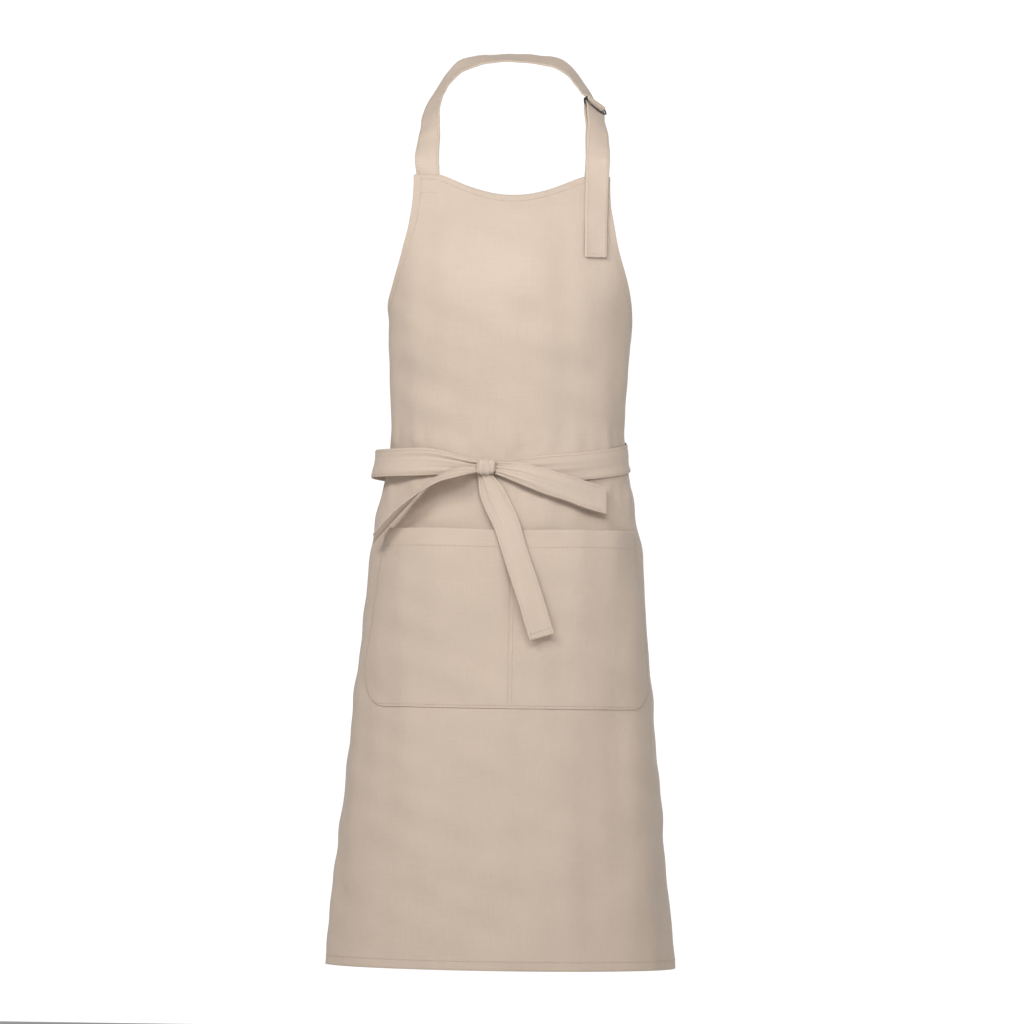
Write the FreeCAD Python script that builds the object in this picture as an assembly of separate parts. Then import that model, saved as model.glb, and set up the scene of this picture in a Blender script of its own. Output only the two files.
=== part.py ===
import FreeCAD, Part
import math
import os

# A bib apron in its worn shape: bib, skirt with a divided patch pocket, a neck
# strap that buckles with a pair of D rings, and waist ties knotted in front.
# Millimetres. The wearer faces -Y, up is +Z, and the origin is where the
# wearer's nape carries the neck strap.

V = FreeCAD.Vector

# Lengths from the nape down
STRAP_RISE = 129.0          # nape to the bib's top corners
BIB_LENGTH = 301.0          # bib's top corners to the waist
SKIRT_LENGTH = 590.0        # waist to the hem

# Panel, as cut
BIB_TOP_HALF = 112.0        # half width of the bib's top edge
SKIRT_HALF = 330.0          # half width of the skirt
SCOOP_MARGIN = 1.0          # between the neckline's scoop and the straps
SCOOP_DEPTH = 22.0
HEM_LIFT = 6.0              # how much higher the hem's corners hang

# Cloth and its layers
CLOTH = 1.0                 # panel and pocket cloth
GAP = 0.3                   # clearance between stacked layers
THREAD = 0.4                # height of a row of stitches
THREAD_HALF = 0.5           # half width of a row of stitches
THREAD_GAP = 0.1            # a row of stitches above its cloth

# Body that the cloth hangs round
CHEST_HALF = 146.0
WAIST_HALF = 131.0
HIP_HALF = 157.0
HEM_HALF = 195.0

# Turned edges
NECK_HEM = 9.0
SIDE_HEM = 12.0
BOTTOM_HEM = 13.0
STITCH_IN = 3.0             # stitches this far inside a turned edge's inner side
STITCH_END = 1.5            # a short row of stitches stops this far from an edge
FACING_END = 2.0            # neckline facing stops inside the scoop's ends
ARMHOLE_RISE = 8.0          # armhole hems begin this far above the waist
HEM_BELOW_TIE = 22.0        # side hems end this far below the ties

# Pocket
POCKET_DROP = 97.0          # waist to the pocket's top edge
POCKET_HEIGHT = 199.0
POCKET_TOP_HALF = 157.0
POCKET_BOTTOM_HALF = 196.0
POCKET_SHIFT = 6.0          # pocket's middle, to the wearer's left
POCKET_CORNER = 48.0        # radius of the lower corners
POCKET_BULGE = 13.0         # how far each compartment stands open
POCKET_HEM = 20.0
POCKET_STITCH = 3.0         # stitches inside the pocket's outline
POCKET_HEM_REACH = 0.93     # share of a compartment that its turned edge covers

# Straps
STRAP_WIDTH = 26.0
STRAP = 2.0                 # thickness of a folded strap
STRAP_INSET = 3.0           # strap's outer edge inside the bib's corner
STRAP_UNDERLAP = 28.0       # strap sewn behind the bib
TAIL_DROP = 91.0            # tail's end below the bib's top edge
TAIL_GAP = 0.8              # room for the tail to turn where it begins

# D rings
WIRE = 2.0
RING_SIDE_PLAY = 0.5
RING_STRAIGHT = 8.0         # length of a ring's straight sides
RING_BOW = 7.0              # depth of a ring's bow below them
RING_CORNER = 2.0
RING_PITCH = 2.3            # between the two rings' flat bars
RING_TILT = 13.0            # front ring lifted by the strap under it, degrees
LOOP_WALL = 1.5
FOLD_PITCH = 1.2            # steps along a band that folds back on itself

# Waist ties
TIE_WIDTH = 31.0
TIE = 1.6
TIE_ROOT = 26.0             # tie sewn under the panel's side edge
TIE_ROOT_RISE = 0.5         # top of that sewn end above the waist
TIE_SPACE = 5.0             # between the two ties where they cross the back
TIE_SLACK = 13.0            # how far the right side of the ties stands off
TIE_SLACK_SPAN = 115.0      # half the length of that loose stretch
KNOT_AT = -24.0             # knot's middle, round the waist
KNOT_WIDTH = 20.0
KNOT_HEIGHT = 17.0
KNOT_DEPTH = 11.0
KNOT_DROP = 26.0            # knot below the waist
KNOT_ROUND = 2.5
LOOP_GAPE = 5.0             # between the middles of the loop's two layers
TAIL_LIFT = 5.5             # bow's tails stand this far off the body

STRAP_SEAT = BIB_TOP_HALF - STRAP_INSET - STRAP_WIDTH / 2
SCOOP_HALF = STRAP_SEAT - STRAP_WIDTH / 2 - SCOOP_MARGIN
BIB_TOP = -STRAP_RISE
WAIST = BIB_TOP - BIB_LENGTH
HEM = WAIST - SKIRT_LENGTH
KNOT_Z = WAIST - KNOT_DROP
POCKET_TOP = WAIST - POCKET_DROP
POCKET_FOOT = POCKET_TOP - POCKET_HEIGHT
TIE_ROOT_Z = WAIST + TIE_ROOT_RISE - TIE_WIDTH / 2


def body_stations():
    """Heights with the body's half width, front and back, from the top down."""
    bib = BIB_LENGTH
    skirt = SKIRT_LENGTH
    return (
        (0.0, CHEST_HALF + 2.0, -72.0, 10.0),
        (BIB_TOP, CHEST_HALF + 2.0, -100.0, 12.0),
        (BIB_TOP - 0.17 * bib, CHEST_HALF + 1.0, -126.0, 18.0),
        (BIB_TOP - 0.36 * bib, CHEST_HALF - 2.0, -149.0, 24.0),
        (BIB_TOP - 0.56 * bib, WAIST_HALF + 5.0, -148.0, 28.0),
        (BIB_TOP - 0.80 * bib, WAIST_HALF + 1.0, -136.0, 32.0),
        (WAIST, WAIST_HALF, -130.0, 36.0),
        (WAIST - 0.09 * skirt, WAIST_HALF + 8.0, -132.0, 44.0),
        (WAIST - 0.20 * skirt, HIP_HALF - 6.0, -140.0, 56.0),
        (WAIST - 0.32 * skirt, HIP_HALF + 1.0, -146.0, 66.0),
        (WAIST - 0.55 * skirt, HIP_HALF + 14.0, -152.0, 76.0),
        (WAIST - 0.80 * skirt, HEM_HALF - 11.0, -158.0, 84.0),
        (HEM, HEM_HALF, -163.0, 90.0),
        (HEM - 60.0, HEM_HALF + 4.0, -164.0, 92.0),
    )


STATIONS = body_stations()


def slope_at(index, column):
    """Rate of change of one body measure at a station."""
    low = max(index - 1, 0)
    high = min(index + 1, len(STATIONS) - 1)
    rise = STATIONS[high][column] - STATIONS[low][column]
    return rise / (STATIONS[high][0] - STATIONS[low][0])


def body(z):
    """Half width, front and back of the body at a height, on a smooth curve."""
    index = 0
    while index < len(STATIONS) - 2 and z < STATIONS[index + 1][0]:
        index += 1
    top = STATIONS[index][0]
    span = STATIONS[index + 1][0] - top
    t = (z - top) / span
    result = []
    for column in (1, 2, 3):
        start = STATIONS[index][column]
        end = STATIONS[index + 1][column]
        leave = slope_at(index, column) * span
        arrive = slope_at(index + 1, column) * span
        value = start * (2 * t ** 3 - 3 * t ** 2 + 1) + leave * (t ** 3 - 2 * t ** 2 + t)
        value += end * (3 * t ** 2 - 2 * t ** 3) + arrive * (t ** 3 - t ** 2)
        result.append(value)
    return result


def girth(half, depth):
    """Length round an ellipse, by Ramanujan's formula."""
    h = ((half - depth) / (half + depth)) ** 2
    return math.pi * (half + depth) * (1 + 3 * h / (10 + math.sqrt(4 - 3 * h)))


def on_body(s, z):
    """Point at a height z, and s round the body from the front's middle."""
    half, front, back = body(z)
    depth = (back - front) / 2
    middle = (back + front) / 2
    steps = 60
    angle = 0.0
    part = abs(s) / steps
    for _ in range(steps):
        rate = math.hypot(half * math.cos(angle), depth * math.sin(angle))
        guess = angle + part / rate / 2
        rate = math.hypot(half * math.cos(guess), depth * math.sin(guess))
        angle += part / rate
    angle = math.copysign(angle, s)
    return V(half * math.sin(angle), middle - depth * math.cos(angle), z)


def cloth_point(s, z, lift):
    """Point that stands lift outside the body."""
    step = 0.5
    round_body = on_body(s + step, z) - on_body(s - step, z)
    up_body = on_body(s, z + step) - on_body(s, z - step)
    normal = round_body.cross(up_body)
    normal.normalize()
    return on_body(s, z) + normal * lift


def back_middle(z):
    """Distance round the body from the front's middle to the back's."""
    half, front, back = body(z)
    return girth(half, (back - front) / 2) / 2


def edge_half(z):
    """Half width of the cut panel at a height: the armhole, then the skirt."""
    fall = (BIB_TOP - z) / BIB_LENGTH
    fall = min(max(fall, 0.0), 1.0)
    return BIB_TOP_HALF + (SKIRT_HALF - BIB_TOP_HALF) * fall ** 2


def neckline(s):
    """Height of the bib's top edge."""
    inside = max(1 - (s / SCOOP_HALF) ** 2, 0.0)
    return BIB_TOP - SCOOP_DEPTH * inside ** 1.3


def hem_line(u):
    """Height of the hem across the panel, u from -1 to 1."""
    return HEM + HEM_LIFT * u ** 2


def panel_point(u, v, lift):
    """Point of the panel, u from side to side and v from hem to neckline."""
    low = hem_line(u)
    z = low + v * (neckline(u * BIB_TOP_HALF) - low)
    return cloth_point(u * edge_half(z), z, lift)


def spread(start, end, count):
    """Evenly spaced values, both ends included."""
    return [start + (end - start) * i / (count - 1) for i in range(count)]


def slab(outer, inner):
    """Closed solid between two matching grids of points."""
    skins = []
    for grid in (outer, inner):
        surface = Part.BSplineSurface()
        surface.interpolate(grid)
        skins.append(surface)
    faces = [surface.toShape() for surface in skins]
    u0, u1, v0, v1 = skins[0].bounds()
    w0, w1, x0, x1 = skins[1].bounds()
    for first, second in ((u0, w0), (u1, w1)):
        edges = (skins[0].uIso(first).toShape(), skins[1].uIso(second).toShape())
        faces.append(Part.makeRuledSurface(*edges, 1))
    for first, second in ((v0, x0), (v1, x1)):
        edges = (skins[0].vIso(first).toShape(), skins[1].vIso(second).toShape())
        faces.append(Part.makeRuledSurface(*edges, 1))
    shell = Part.makeShell(faces)
    shell.sewShape()
    solid = Part.makeSolid(shell)
    if solid.Volume < 0:
        solid.reverse()
    return solid


def panel_slab(us, vs, low, high):
    """Layer of the panel between two lifts."""
    outer = [[panel_point(u, v, high) for v in vs] for u in us]
    inner = [[panel_point(u, v, low) for v in vs] for u in us]
    return slab(outer, inner)


def ribbon(pairs, low, high):
    """Band through pairs of edge points, between two offsets along its normal."""
    outer = []
    inner = []
    last = len(pairs) - 1
    for index, (first, second) in enumerate(pairs):
        before = pairs[max(index - 1, 0)]
        after = pairs[min(index + 1, last)]
        along = after[0] + after[1] - before[0] - before[1]
        normal = (second - first).cross(along)
        normal.normalize()
        outer.append([first + normal * high, second + normal * high])
        inner.append([first + normal * low, second + normal * low])
    return slab(outer, inner)


def folded(pairs, low, high, pitch):
    """Ribbon with tight folds: its route is first walked in even steps."""
    middles = [(first + second) * 0.5 for first, second in pairs]
    walked = [0.0]
    for before, after in zip(middles, middles[1:]):
        walked.append(walked[-1] + (after - before).Length)
    count = int(walked[-1] / pitch) + 1
    even = []
    index = 0
    for distance in spread(0.0, walked[-1], count):
        while index < len(walked) - 2 and distance > walked[index + 1]:
            index += 1
        t = (distance - walked[index]) / (walked[index + 1] - walked[index])
        first = pairs[index][0] + (pairs[index + 1][0] - pairs[index][0]) * t
        second = pairs[index][1] + (pairs[index + 1][1] - pairs[index][1]) * t
        even.append((first, second))
    return ribbon(even, low, high)


def seam(points, normals, low):
    """Row of stitches along a line on a cloth surface."""
    pairs = []
    last = len(points) - 1
    for index, point in enumerate(points):
        along = points[min(index + 1, last)] - points[max(index - 1, 0)]
        side = normals[index].cross(along)
        side.normalize()
        pairs.append((point - side * THREAD_HALF, point + side * THREAD_HALF))
    outer = []
    inner = []
    for (first, second), normal in zip(pairs, normals):
        outer.append([first + normal * (low + THREAD), second + normal * (low + THREAD)])
        inner.append([first + normal * low, second + normal * low])
    return slab(outer, inner)


def cloth_seam(places, low):
    """Row of stitches through (s, z) places on the body, standing at low."""
    points = [cloth_point(s, z, 0.0) for s, z in places]
    normals = [cloth_point(s, z, 1.0) - cloth_point(s, z, 0.0) for s, z in places]
    return seam(points, normals, low)


# ---------------------------------------------------------------- panel

def apron_panel():
    heights = spread(0, 0.6, 25)[:-1] + spread(0.6, 0.9, 25)[:-1] + spread(0.9, 1, 21)
    return panel_slab(spread(-1, 1, 65), heights, 0.0, CLOTH)


def turned(us, vs):
    """Turned edge behind the panel."""
    return panel_slab(us, vs, -GAP - CLOTH, -GAP)


def bottom_hem():
    share = BOTTOM_HEM / (BIB_LENGTH + SKIRT_LENGTH)
    reach = 1 - (SIDE_HEM + 1) / SKIRT_HALF
    return turned(spread(-reach, reach, 33), (0.0, share / 2, share))


def side_strip(side, z_low, z_high, count):
    """Turned edge along one side of the panel, between two heights."""
    outer = []
    inner = []
    for z in spread(z_low, z_high, count):
        edge = edge_half(z)
        across = spread(edge - SIDE_HEM, edge, 3)
        outer.append([cloth_point(side * s, z, -GAP) for s in across])
        inner.append([cloth_point(side * s, z, -GAP - CLOTH) for s in across])
    return slab(outer, inner)


def side_hem(side):
    return side_strip(side, HEM + HEM_LIFT, WAIST - TIE_WIDTH - HEM_BELOW_TIE, 31)


def armhole_hem(side):
    top = BIB_TOP - STRAP_UNDERLAP - FACING_END
    return side_strip(side, WAIST + ARMHOLE_RISE, top, 33)


def neckline_facing():
    reach = SCOOP_HALF - FACING_END
    outer = []
    inner = []
    for s in spread(-reach, reach, 33):
        top = neckline(s)
        heights = (top - NECK_HEM, top - NECK_HEM / 2, top - 2 * THREAD_GAP)
        outer.append([cloth_point(s, z, -GAP) for z in heights])
        inner.append([cloth_point(s, z, -GAP - CLOTH) for z in heights])
    return slab(outer, inner)


def neckline_stitches():
    drop = NECK_HEM - STITCH_IN + 1
    reach = SCOOP_HALF - 4
    places = [(s, neckline(s) - drop) for s in spread(-reach, reach, 41)]
    return cloth_seam(places, CLOTH + 2 * THREAD_GAP)


def bottom_stitches():
    rise = BOTTOM_HEM - STITCH_IN
    reach = SKIRT_HALF - SIDE_HEM
    places = [(s, hem_line(s / SKIRT_HALF) + rise) for s in spread(-reach, reach, 41)]
    return cloth_seam(places, CLOTH + THREAD_GAP)


def side_stitches(side, z_low, z_high, count):
    inset = SIDE_HEM - STITCH_IN
    heights = spread(z_low, z_high, count)
    places = [(side * (edge_half(z) - inset), z) for z in heights]
    return cloth_seam(places, CLOTH + THREAD_GAP)


# ---------------------------------------------------------------- pocket

def pocket_half(z):
    """Half width of the pocket at a height, with its lower corners rounded."""
    rise = (z - POCKET_FOOT) / POCKET_HEIGHT
    half = POCKET_BOTTOM_HALF + (POCKET_TOP_HALF - POCKET_BOTTOM_HALF) * rise
    above = z - POCKET_FOOT
    if above < POCKET_CORNER:
        drop = POCKET_CORNER - above
        half -= POCKET_CORNER - math.sqrt(POCKET_CORNER ** 2 - drop ** 2)
    return half


def pocket_lift(p, z):
    """Lift of the pocket's inner face: sewn down at its edges and middle."""
    rise = (z - POCKET_FOOT) / POCKET_HEIGHT
    rise = min(max(rise, 0.0), 1.0)
    across = math.sin(math.pi * min(abs(p), 1.0))
    return CLOTH + GAP + POCKET_BULGE * across * math.sin(rise * math.pi / 2) ** 1.5


def pocket_point(p, z, above):
    """Point of the pocket, p from -1 to 1 across it, above its inner face."""
    s = POCKET_SHIFT + p * pocket_half(z)
    return cloth_point(s, z, pocket_lift(p, z) + above)


def pocket_heights():
    """Heights that follow the lower corners' arcs, then the straight sides."""
    turn = [POCKET_CORNER * (1 - math.cos(math.radians(a))) for a in (0, 20, 40, 60, 78)]
    straight = spread(POCKET_CORNER, POCKET_HEIGHT, 9)
    return [POCKET_FOOT + rise for rise in turn + straight]


def pocket_sheet(ps, zs, low, high):
    outer = [[pocket_point(p, z, high) for z in zs] for p in ps]
    inner = [[pocket_point(p, z, low) for z in zs] for p in ps]
    return slab(outer, inner)


def pocket_panel():
    return pocket_sheet(spread(-1, 1, 49), pocket_heights(), 0.0, CLOTH)


def pocket_top_hem():
    """Turned top edge inside each compartment, clear of the seams."""
    heights = (POCKET_TOP - POCKET_HEM, POCKET_TOP - POCKET_HEM / 2, POCKET_TOP)
    strips = []
    for side in (-1, 1):
        ps = [side * p for p in spread(1 - POCKET_HEM_REACH, POCKET_HEM_REACH, 15)]
        strips.append(pocket_sheet(ps, heights, -GAP - CLOTH, -GAP))
    return Part.makeCompound(strips)


def pocket_line(places, above):
    """Row of stitches through (p, z) places on the pocket's face."""
    points = [pocket_point(p, z, 0.0) for p, z in places]
    normals = []
    step = 0.01
    for p, z in places:
        across = pocket_point(p + step, z, 0.0) - pocket_point(p - step, z, 0.0)
        upward = pocket_point(p, z + 1, 0.0) - pocket_point(p, z - 1, 0.0)
        normal = across.cross(upward)
        normal.normalize()
        normals.append(normal)
    return seam(points, normals, above)


def pocket_divider_stitches():
    heights = [POCKET_FOOT + 2 * POCKET_STITCH] + pocket_heights()[2:-1]
    heights.append(POCKET_TOP - 1)
    return pocket_line([(0.0, z) for z in heights], CLOTH + 3 * THREAD_GAP)


def pocket_outline_stitches():
    rows = []
    for side in (-1, 1):
        places = []
        for z in pocket_heights()[2:]:
            p = 1 - POCKET_STITCH / pocket_half(z)
            places.append((side * p, min(z, POCKET_TOP - 1)))
        rows.append(pocket_line(places, CLOTH + 2 * THREAD_GAP))
    reach = 1 - (POCKET_CORNER / 2) / POCKET_BOTTOM_HALF
    foot = POCKET_FOOT + POCKET_STITCH
    rows.append(pocket_line([(p, foot) for p in spread(-reach * 0.9, reach * 0.9, 31)],
                            CLOTH + 2 * THREAD_GAP))
    return Part.makeCompound(rows)


def pocket_hem_stitches():
    z = POCKET_TOP - POCKET_HEM + 1
    rows = []
    for side in (-1, 1):
        places = [(side * p, z) for p in spread(0.04, 0.94, 21)]
        rows.append(pocket_line(places, CLOTH + 2 * THREAD_GAP))
    return Part.makeCompound(rows)


# ---------------------------------------------------------------- neck strap

def strap_route(side):
    """Pairs of edge points from the nape over one shoulder to the bib.

    Each place is the inner edge with the direction across the strap."""
    rise = STRAP_RISE / 129.0
    # the rings' weight keeps the right side flatter; the left side twists sooner
    shoulder = (0.42, 0.86, -0.10) if side > 0 else (0.15, 0.89, 0.42)
    places = (
        ((0.0, 0.0, 3.3), (0.0, 0.95, 0.31)),
        ((30.0, 1.0, 1.0), (0.02, 0.94, 0.35)),
        ((56.0, -5.0, -8.0), (0.10, 0.88, 0.46)),
        ((73.0, -18.0, -24.0), shoulder),
        ((82.0, -35.0, -40.0), (0.68, 0.55, -0.48)),
        ((84.0, -51.0, -58.0), (0.78, 0.32, -0.53)),
        ((83.0, -68.0, -82.0), (0.92, 0.10, -0.36)),
        ((83.0, -85.0, -108.0), (0.99, 0.0, -0.08)),
    )
    pairs = []
    for (x, y, z), across in places:
        inner = V(side * x, y, z * rise)
        way = V(side * across[0], across[1], across[2])
        way.normalize()
        pairs.append((inner, inner + way * STRAP_WIDTH))
    for z in (BIB_TOP, BIB_TOP - STRAP_UNDERLAP / 2, BIB_TOP - STRAP_UNDERLAP):
        pairs.append(seat_pair(side, z))
    return pairs


def seat_pair(side, z):
    """Edges of a strap on the bib at a height, on the panel's outer face."""
    inner = cloth_point(side * (STRAP_SEAT - STRAP_WIDTH / 2), z, CLOTH)
    outer = cloth_point(side * (STRAP_SEAT + STRAP_WIDTH / 2), z, CLOTH)
    return (inner, outer)


def finer(pairs):
    """Route with a place added half way between each two, on a smooth curve."""
    result = [pairs[0]]
    last = len(pairs) - 1
    for index in range(last):
        ring = [pairs[max(index - 1, 0)], pairs[index], pairs[index + 1]]
        ring.append(pairs[min(index + 2, last)])
        middle = []
        for edge in (0, 1):
            inside = (ring[1][edge] + ring[2][edge]) * 9
            outside = ring[0][edge] + ring[3][edge]
            middle.append((inside - outside) * (1 / 16))
        result.append(tuple(middle))
        result.append(pairs[index + 1])
    return result


ROUTE_RIGHT = finer(strap_route(1))
ROUTE_LEFT = finer(strap_route(-1))
BARS = 8                    # place on the finer route where the flat bars lie
LOOP_TOP = 7                # place where the neck strap meets the rings' loop
FREE = 13                   # place where the loose tail begins
LAYER = WIRE / 2 + GAP + STRAP / 2  # strap's middle from the back ring's middle
BEHIND = CLOTH + GAP + STRAP / 2    # strap's middle behind the bib's outer face


class Adjuster:
    """Axes at the flat bars: across the strap, up along it and out of it."""

    def __init__(self):
        inner, outer = ROUTE_RIGHT[BARS]
        below = ROUTE_RIGHT[BARS + 2]
        self.across = (outer - inner) + (below[1] - below[0])
        self.across.normalize()
        self.centre = (inner + outer) * 0.5
        upward = self.centre - (below[0] + below[1]) * 0.5
        self.out = self.across.cross(upward)
        self.out.normalize()
        self.up = self.out.cross(self.across)

    def at(self, across, up, out):
        return self.centre + self.across * across + self.up * up + self.out * out

    def pair(self, up, out):
        half = STRAP_WIDTH / 2
        return (self.at(-half, up, out), self.at(half, up, out))


BUCKLE = Adjuster()
BOW_END = RING_STRAIGHT + RING_BOW + WIRE / 2


def moved(pairs, offset):
    """Pairs moved along the band's own normal."""
    result = []
    last = len(pairs) - 1
    for index, (first, second) in enumerate(pairs):
        before = pairs[max(index - 1, 0)]
        after = pairs[min(index + 1, last)]
        along = before[0] + before[1] - after[0] - after[1]
        normal = (second - first).cross(along)
        normal.normalize()
        result.append((first + normal * offset, second + normal * offset))
    return result


def neck_strap():
    """From the left bib corner round the nape to the rings' loop."""
    left = list(reversed(ROUTE_LEFT))
    right = ROUTE_RIGHT[1:LOOP_TOP + 1]
    return ribbon(left + right, BEHIND - STRAP / 2, BEHIND + STRAP / 2)


def adjusting_strap():
    """From the right bib corner up behind, round the back ring and down."""
    reach = spread(-BOW_END - 6, -RING_STRAIGHT, 7)
    riser = moved(ROUTE_RIGHT[FREE - 2:], -BEHIND)
    pairs = list(reversed(riser))
    pairs += [BUCKLE.pair(up, -LAYER) for up in reach]
    for angle in spread(15, 165, 11):
        turn = math.radians(angle)
        pairs.append(BUCKLE.pair(-RING_STRAIGHT + LAYER * math.sin(turn),
                                 -LAYER * math.cos(turn)))
    pairs += [BUCKLE.pair(up, LAYER) for up in reversed(reach)]
    pairs += moved(ROUTE_RIGHT[FREE - 2:FREE + 2], LAYER)[:-1]
    return folded(pairs, -STRAP / 2, STRAP / 2, FOLD_PITCH)


def tail_pairs():
    """Loose end of the adjusting strap, down the face of the bib."""
    heights = spread(BIB_TOP, BIB_TOP - TAIL_DROP, 8)
    pairs = ROUTE_RIGHT[FREE:FREE + 3] + [seat_pair(1, z) for z in heights[1:]]
    pairs = moved(pairs, LAYER)
    step = pairs[1][0] - pairs[0][0]
    step.normalize()
    pairs[0] = tuple(edge + step * TAIL_GAP for edge in pairs[0])
    return pairs


def strap_tail():
    return ribbon(tail_pairs(), -STRAP / 2, STRAP / 2)


def tail_end_stitches():
    """Row of stitches across the hemmed end of the loose tail."""
    z = BIB_TOP - TAIL_DROP + STITCH_IN
    lift = LAYER + STRAP / 2
    half = STRAP_WIDTH / 2 - STITCH_END
    places = [(STRAP_SEAT + s, z) for s in spread(-half, half, 5)]
    return cloth_seam(places, CLOTH + lift + 2 * THREAD_GAP)


def strap_base_stitches(side):
    """Row of stitches that holds a strap behind the bib's corner."""
    half = STRAP_WIDTH / 2 - STITCH_END
    z = BIB_TOP - STITCH_IN - 2
    places = [(side * (STRAP_SEAT + s), z) for s in spread(-half, half, 9)]
    return cloth_seam(places, CLOTH + 2 * THREAD_GAP)


# ---------------------------------------------------------------- D rings

def d_ring(out, tilt):
    """Wire ring: a flat bar, two straight sides and a bowed bar."""
    half = STRAP_WIDTH / 2 + RING_SIDE_PLAY + WIRE / 2
    flat = half - RING_CORNER
    low = -RING_STRAIGHT
    bend = RING_CORNER * (1 - math.sqrt(0.5))
    route = [Part.LineSegment(V(-flat, 0, 0), V(flat, 0, 0)).toShape()]
    route.append(Part.Arc(V(flat, 0, 0), V(half - bend, -bend, 0),
                          V(half, -RING_CORNER, 0)).toShape())
    route.append(Part.LineSegment(V(half, -RING_CORNER, 0), V(half, low, 0)).toShape())
    bow = Part.Ellipse(V(0, low, 0), half, RING_BOW)
    route.append(Part.Arc(bow, math.pi, 2 * math.pi).toShape())
    route.append(Part.LineSegment(V(-half, low, 0), V(-half, -RING_CORNER, 0)).toShape())
    route.append(Part.Arc(V(-half, -RING_CORNER, 0), V(-half + bend, -bend, 0),
                          V(-flat, 0, 0)).toShape())
    wire = Part.Wire(Part.__sortEdges__(route))
    circle = Part.Circle(V(0, 0, 0), V(1, 0, 0), WIRE / 2)
    ring = wire.makePipeShell([Part.Wire(circle.toShape())], True, True)
    ring.rotate(V(0, 0, 0), V(1, 0, 0), -tilt)
    return placed(ring, out)


def placed(shape, out):
    """Shape in the buckle's axes, moved to its place."""
    matrix = FreeCAD.Matrix(
        BUCKLE.across.x, BUCKLE.up.x, BUCKLE.out.x, BUCKLE.at(0, 0, out).x,
        BUCKLE.across.y, BUCKLE.up.y, BUCKLE.out.y, BUCKLE.at(0, 0, out).y,
        BUCKLE.across.z, BUCKLE.up.z, BUCKLE.out.z, BUCKLE.at(0, 0, out).z,
        0, 0, 0, 1)
    shape.transformShape(matrix)
    return shape


def ring_loop():
    """Folded end of the neck strap, closed round both flat bars."""
    inner = WIRE / 2 + GAP
    walls = []
    for radius in (inner + LOOP_WALL, inner):
        stadium = Part.makeBox(STRAP_WIDTH - 1, 2 * radius, RING_PITCH,
                               V(-STRAP_WIDTH / 2 + 0.5, -radius, 0))
        for out in (0, RING_PITCH):
            end = Part.makeCylinder(radius, STRAP_WIDTH - 1,
                                    V(-STRAP_WIDTH / 2 + 0.5, 0, out), V(1, 0, 0))
            stadium = stadium.fuse(end)
        walls.append(stadium)
    return placed(walls[0].cut(walls[1]).removeSplitter(), 0)


# ---------------------------------------------------------------- waist ties

def eased(t):
    """Smooth step from 0 to 1."""
    t = min(max(t, 0.0), 1.0)
    return t * t * (3 - 2 * t)


def waist_tie(side, back_z, front_z, front_end, slack):
    """Tie from one side edge, across the back and round to the knot.

    s runs from its root past the back's middle to the body's other side."""
    back = back_middle(WAIST)
    start = SKIRT_HALF - TIE_ROOT
    end = 2 * back - front_end
    pairs = []
    for s in spread(start, end, 47):
        if s < back:
            climb = eased((s - start) / (back - start))
            z = TIE_ROOT_Z + (back_z - TIE_ROOT_Z) * climb
        else:
            z = back_z + (front_z - back_z) * eased((s - back) / (end - back))
        inside = -2 * GAP - TIE / 2 - 2 * THREAD_GAP
        outside = CLOTH + 3 * GAP + TIE / 2
        far_edge = 2 * back - SKIRT_HALF
        outward = eased((s - SKIRT_HALF - 2) / (far_edge - SKIRT_HALF - 6))
        lift = inside + (outside - inside) * outward
        place = s if s < back else s - 2 * back
        from_side = min(abs(place + back / 2) / TIE_SLACK_SPAN, 1.0)
        lift += slack * (0.5 + 0.5 * math.cos(math.pi * from_side))
        half = TIE_WIDTH / 2
        pairs.append((cloth_point(side * place, z - half, lift),
                      cloth_point(side * place, z + half, lift)))
    return ribbon(pairs, -TIE / 2, TIE / 2)


def bow_knot():
    """Wrapped knot in front of the ties."""
    centre = cloth_point(KNOT_AT, KNOT_Z, CLOTH + 3 * GAP + TIE)
    knot = Part.makeBox(KNOT_WIDTH, KNOT_DEPTH, KNOT_HEIGHT,
                        V(centre.x - KNOT_WIDTH / 2, centre.y - KNOT_DEPTH - 5 * GAP,
                          centre.z - KNOT_HEIGHT / 2))
    return knot.makeFillet(KNOT_ROUND, knot.Edges)


def knot_edge(side):
    """Distance round the body of one side of the knot."""
    return KNOT_AT + side * KNOT_WIDTH / 2


def bow_loop():
    """Loop of the bow: a band out to the wearer's left and back again."""
    back_lift = CLOTH + 4 * GAP + 1.5 * TIE + 1
    places = (
        # round the body, drop of the middle, height of the band, share of the gape
        (0.7, 1.0, 13.0, 0.5),
        (14.0, 4.0, 18.0, 0.7),
        (27.0, 7.0, 23.0, 0.9),
        (41.0, 11.5, 26.0, 1.0),
        (55.0, 16.0, 28.0, 1.0),
        (78.0, 23.0, 29.0, 1.0),
        (98.0, 30.0, 30.0, 1.0),
        (124.0, 37.0, 30.0, 1.0),
    )

    def edges(place, drop, height, lift):
        s = knot_edge(1) + place
        z = KNOT_Z - drop
        return (cloth_point(s, z - height / 2, lift), cloth_point(s, z + height / 2, lift))

    front = []
    back = []
    for place, drop, height, share in places:
        back.append(edges(place, drop, height, back_lift))
        front.append(edges(place, drop, height, back_lift + LOOP_GAPE * share))
    place, drop, height, share = places[-1]
    radius = LOOP_GAPE / 2
    bend = []
    for angle in spread(15, 165, 11):
        turn = math.radians(angle)
        bend.append(edges(place + radius * math.sin(turn), drop, height,
                          back_lift + radius - radius * math.cos(turn)))
    pairs = finer(back) + bend + list(reversed(finer(front)))
    return folded(pairs, -TIE / 2, TIE / 2, FOLD_PITCH)


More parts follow.
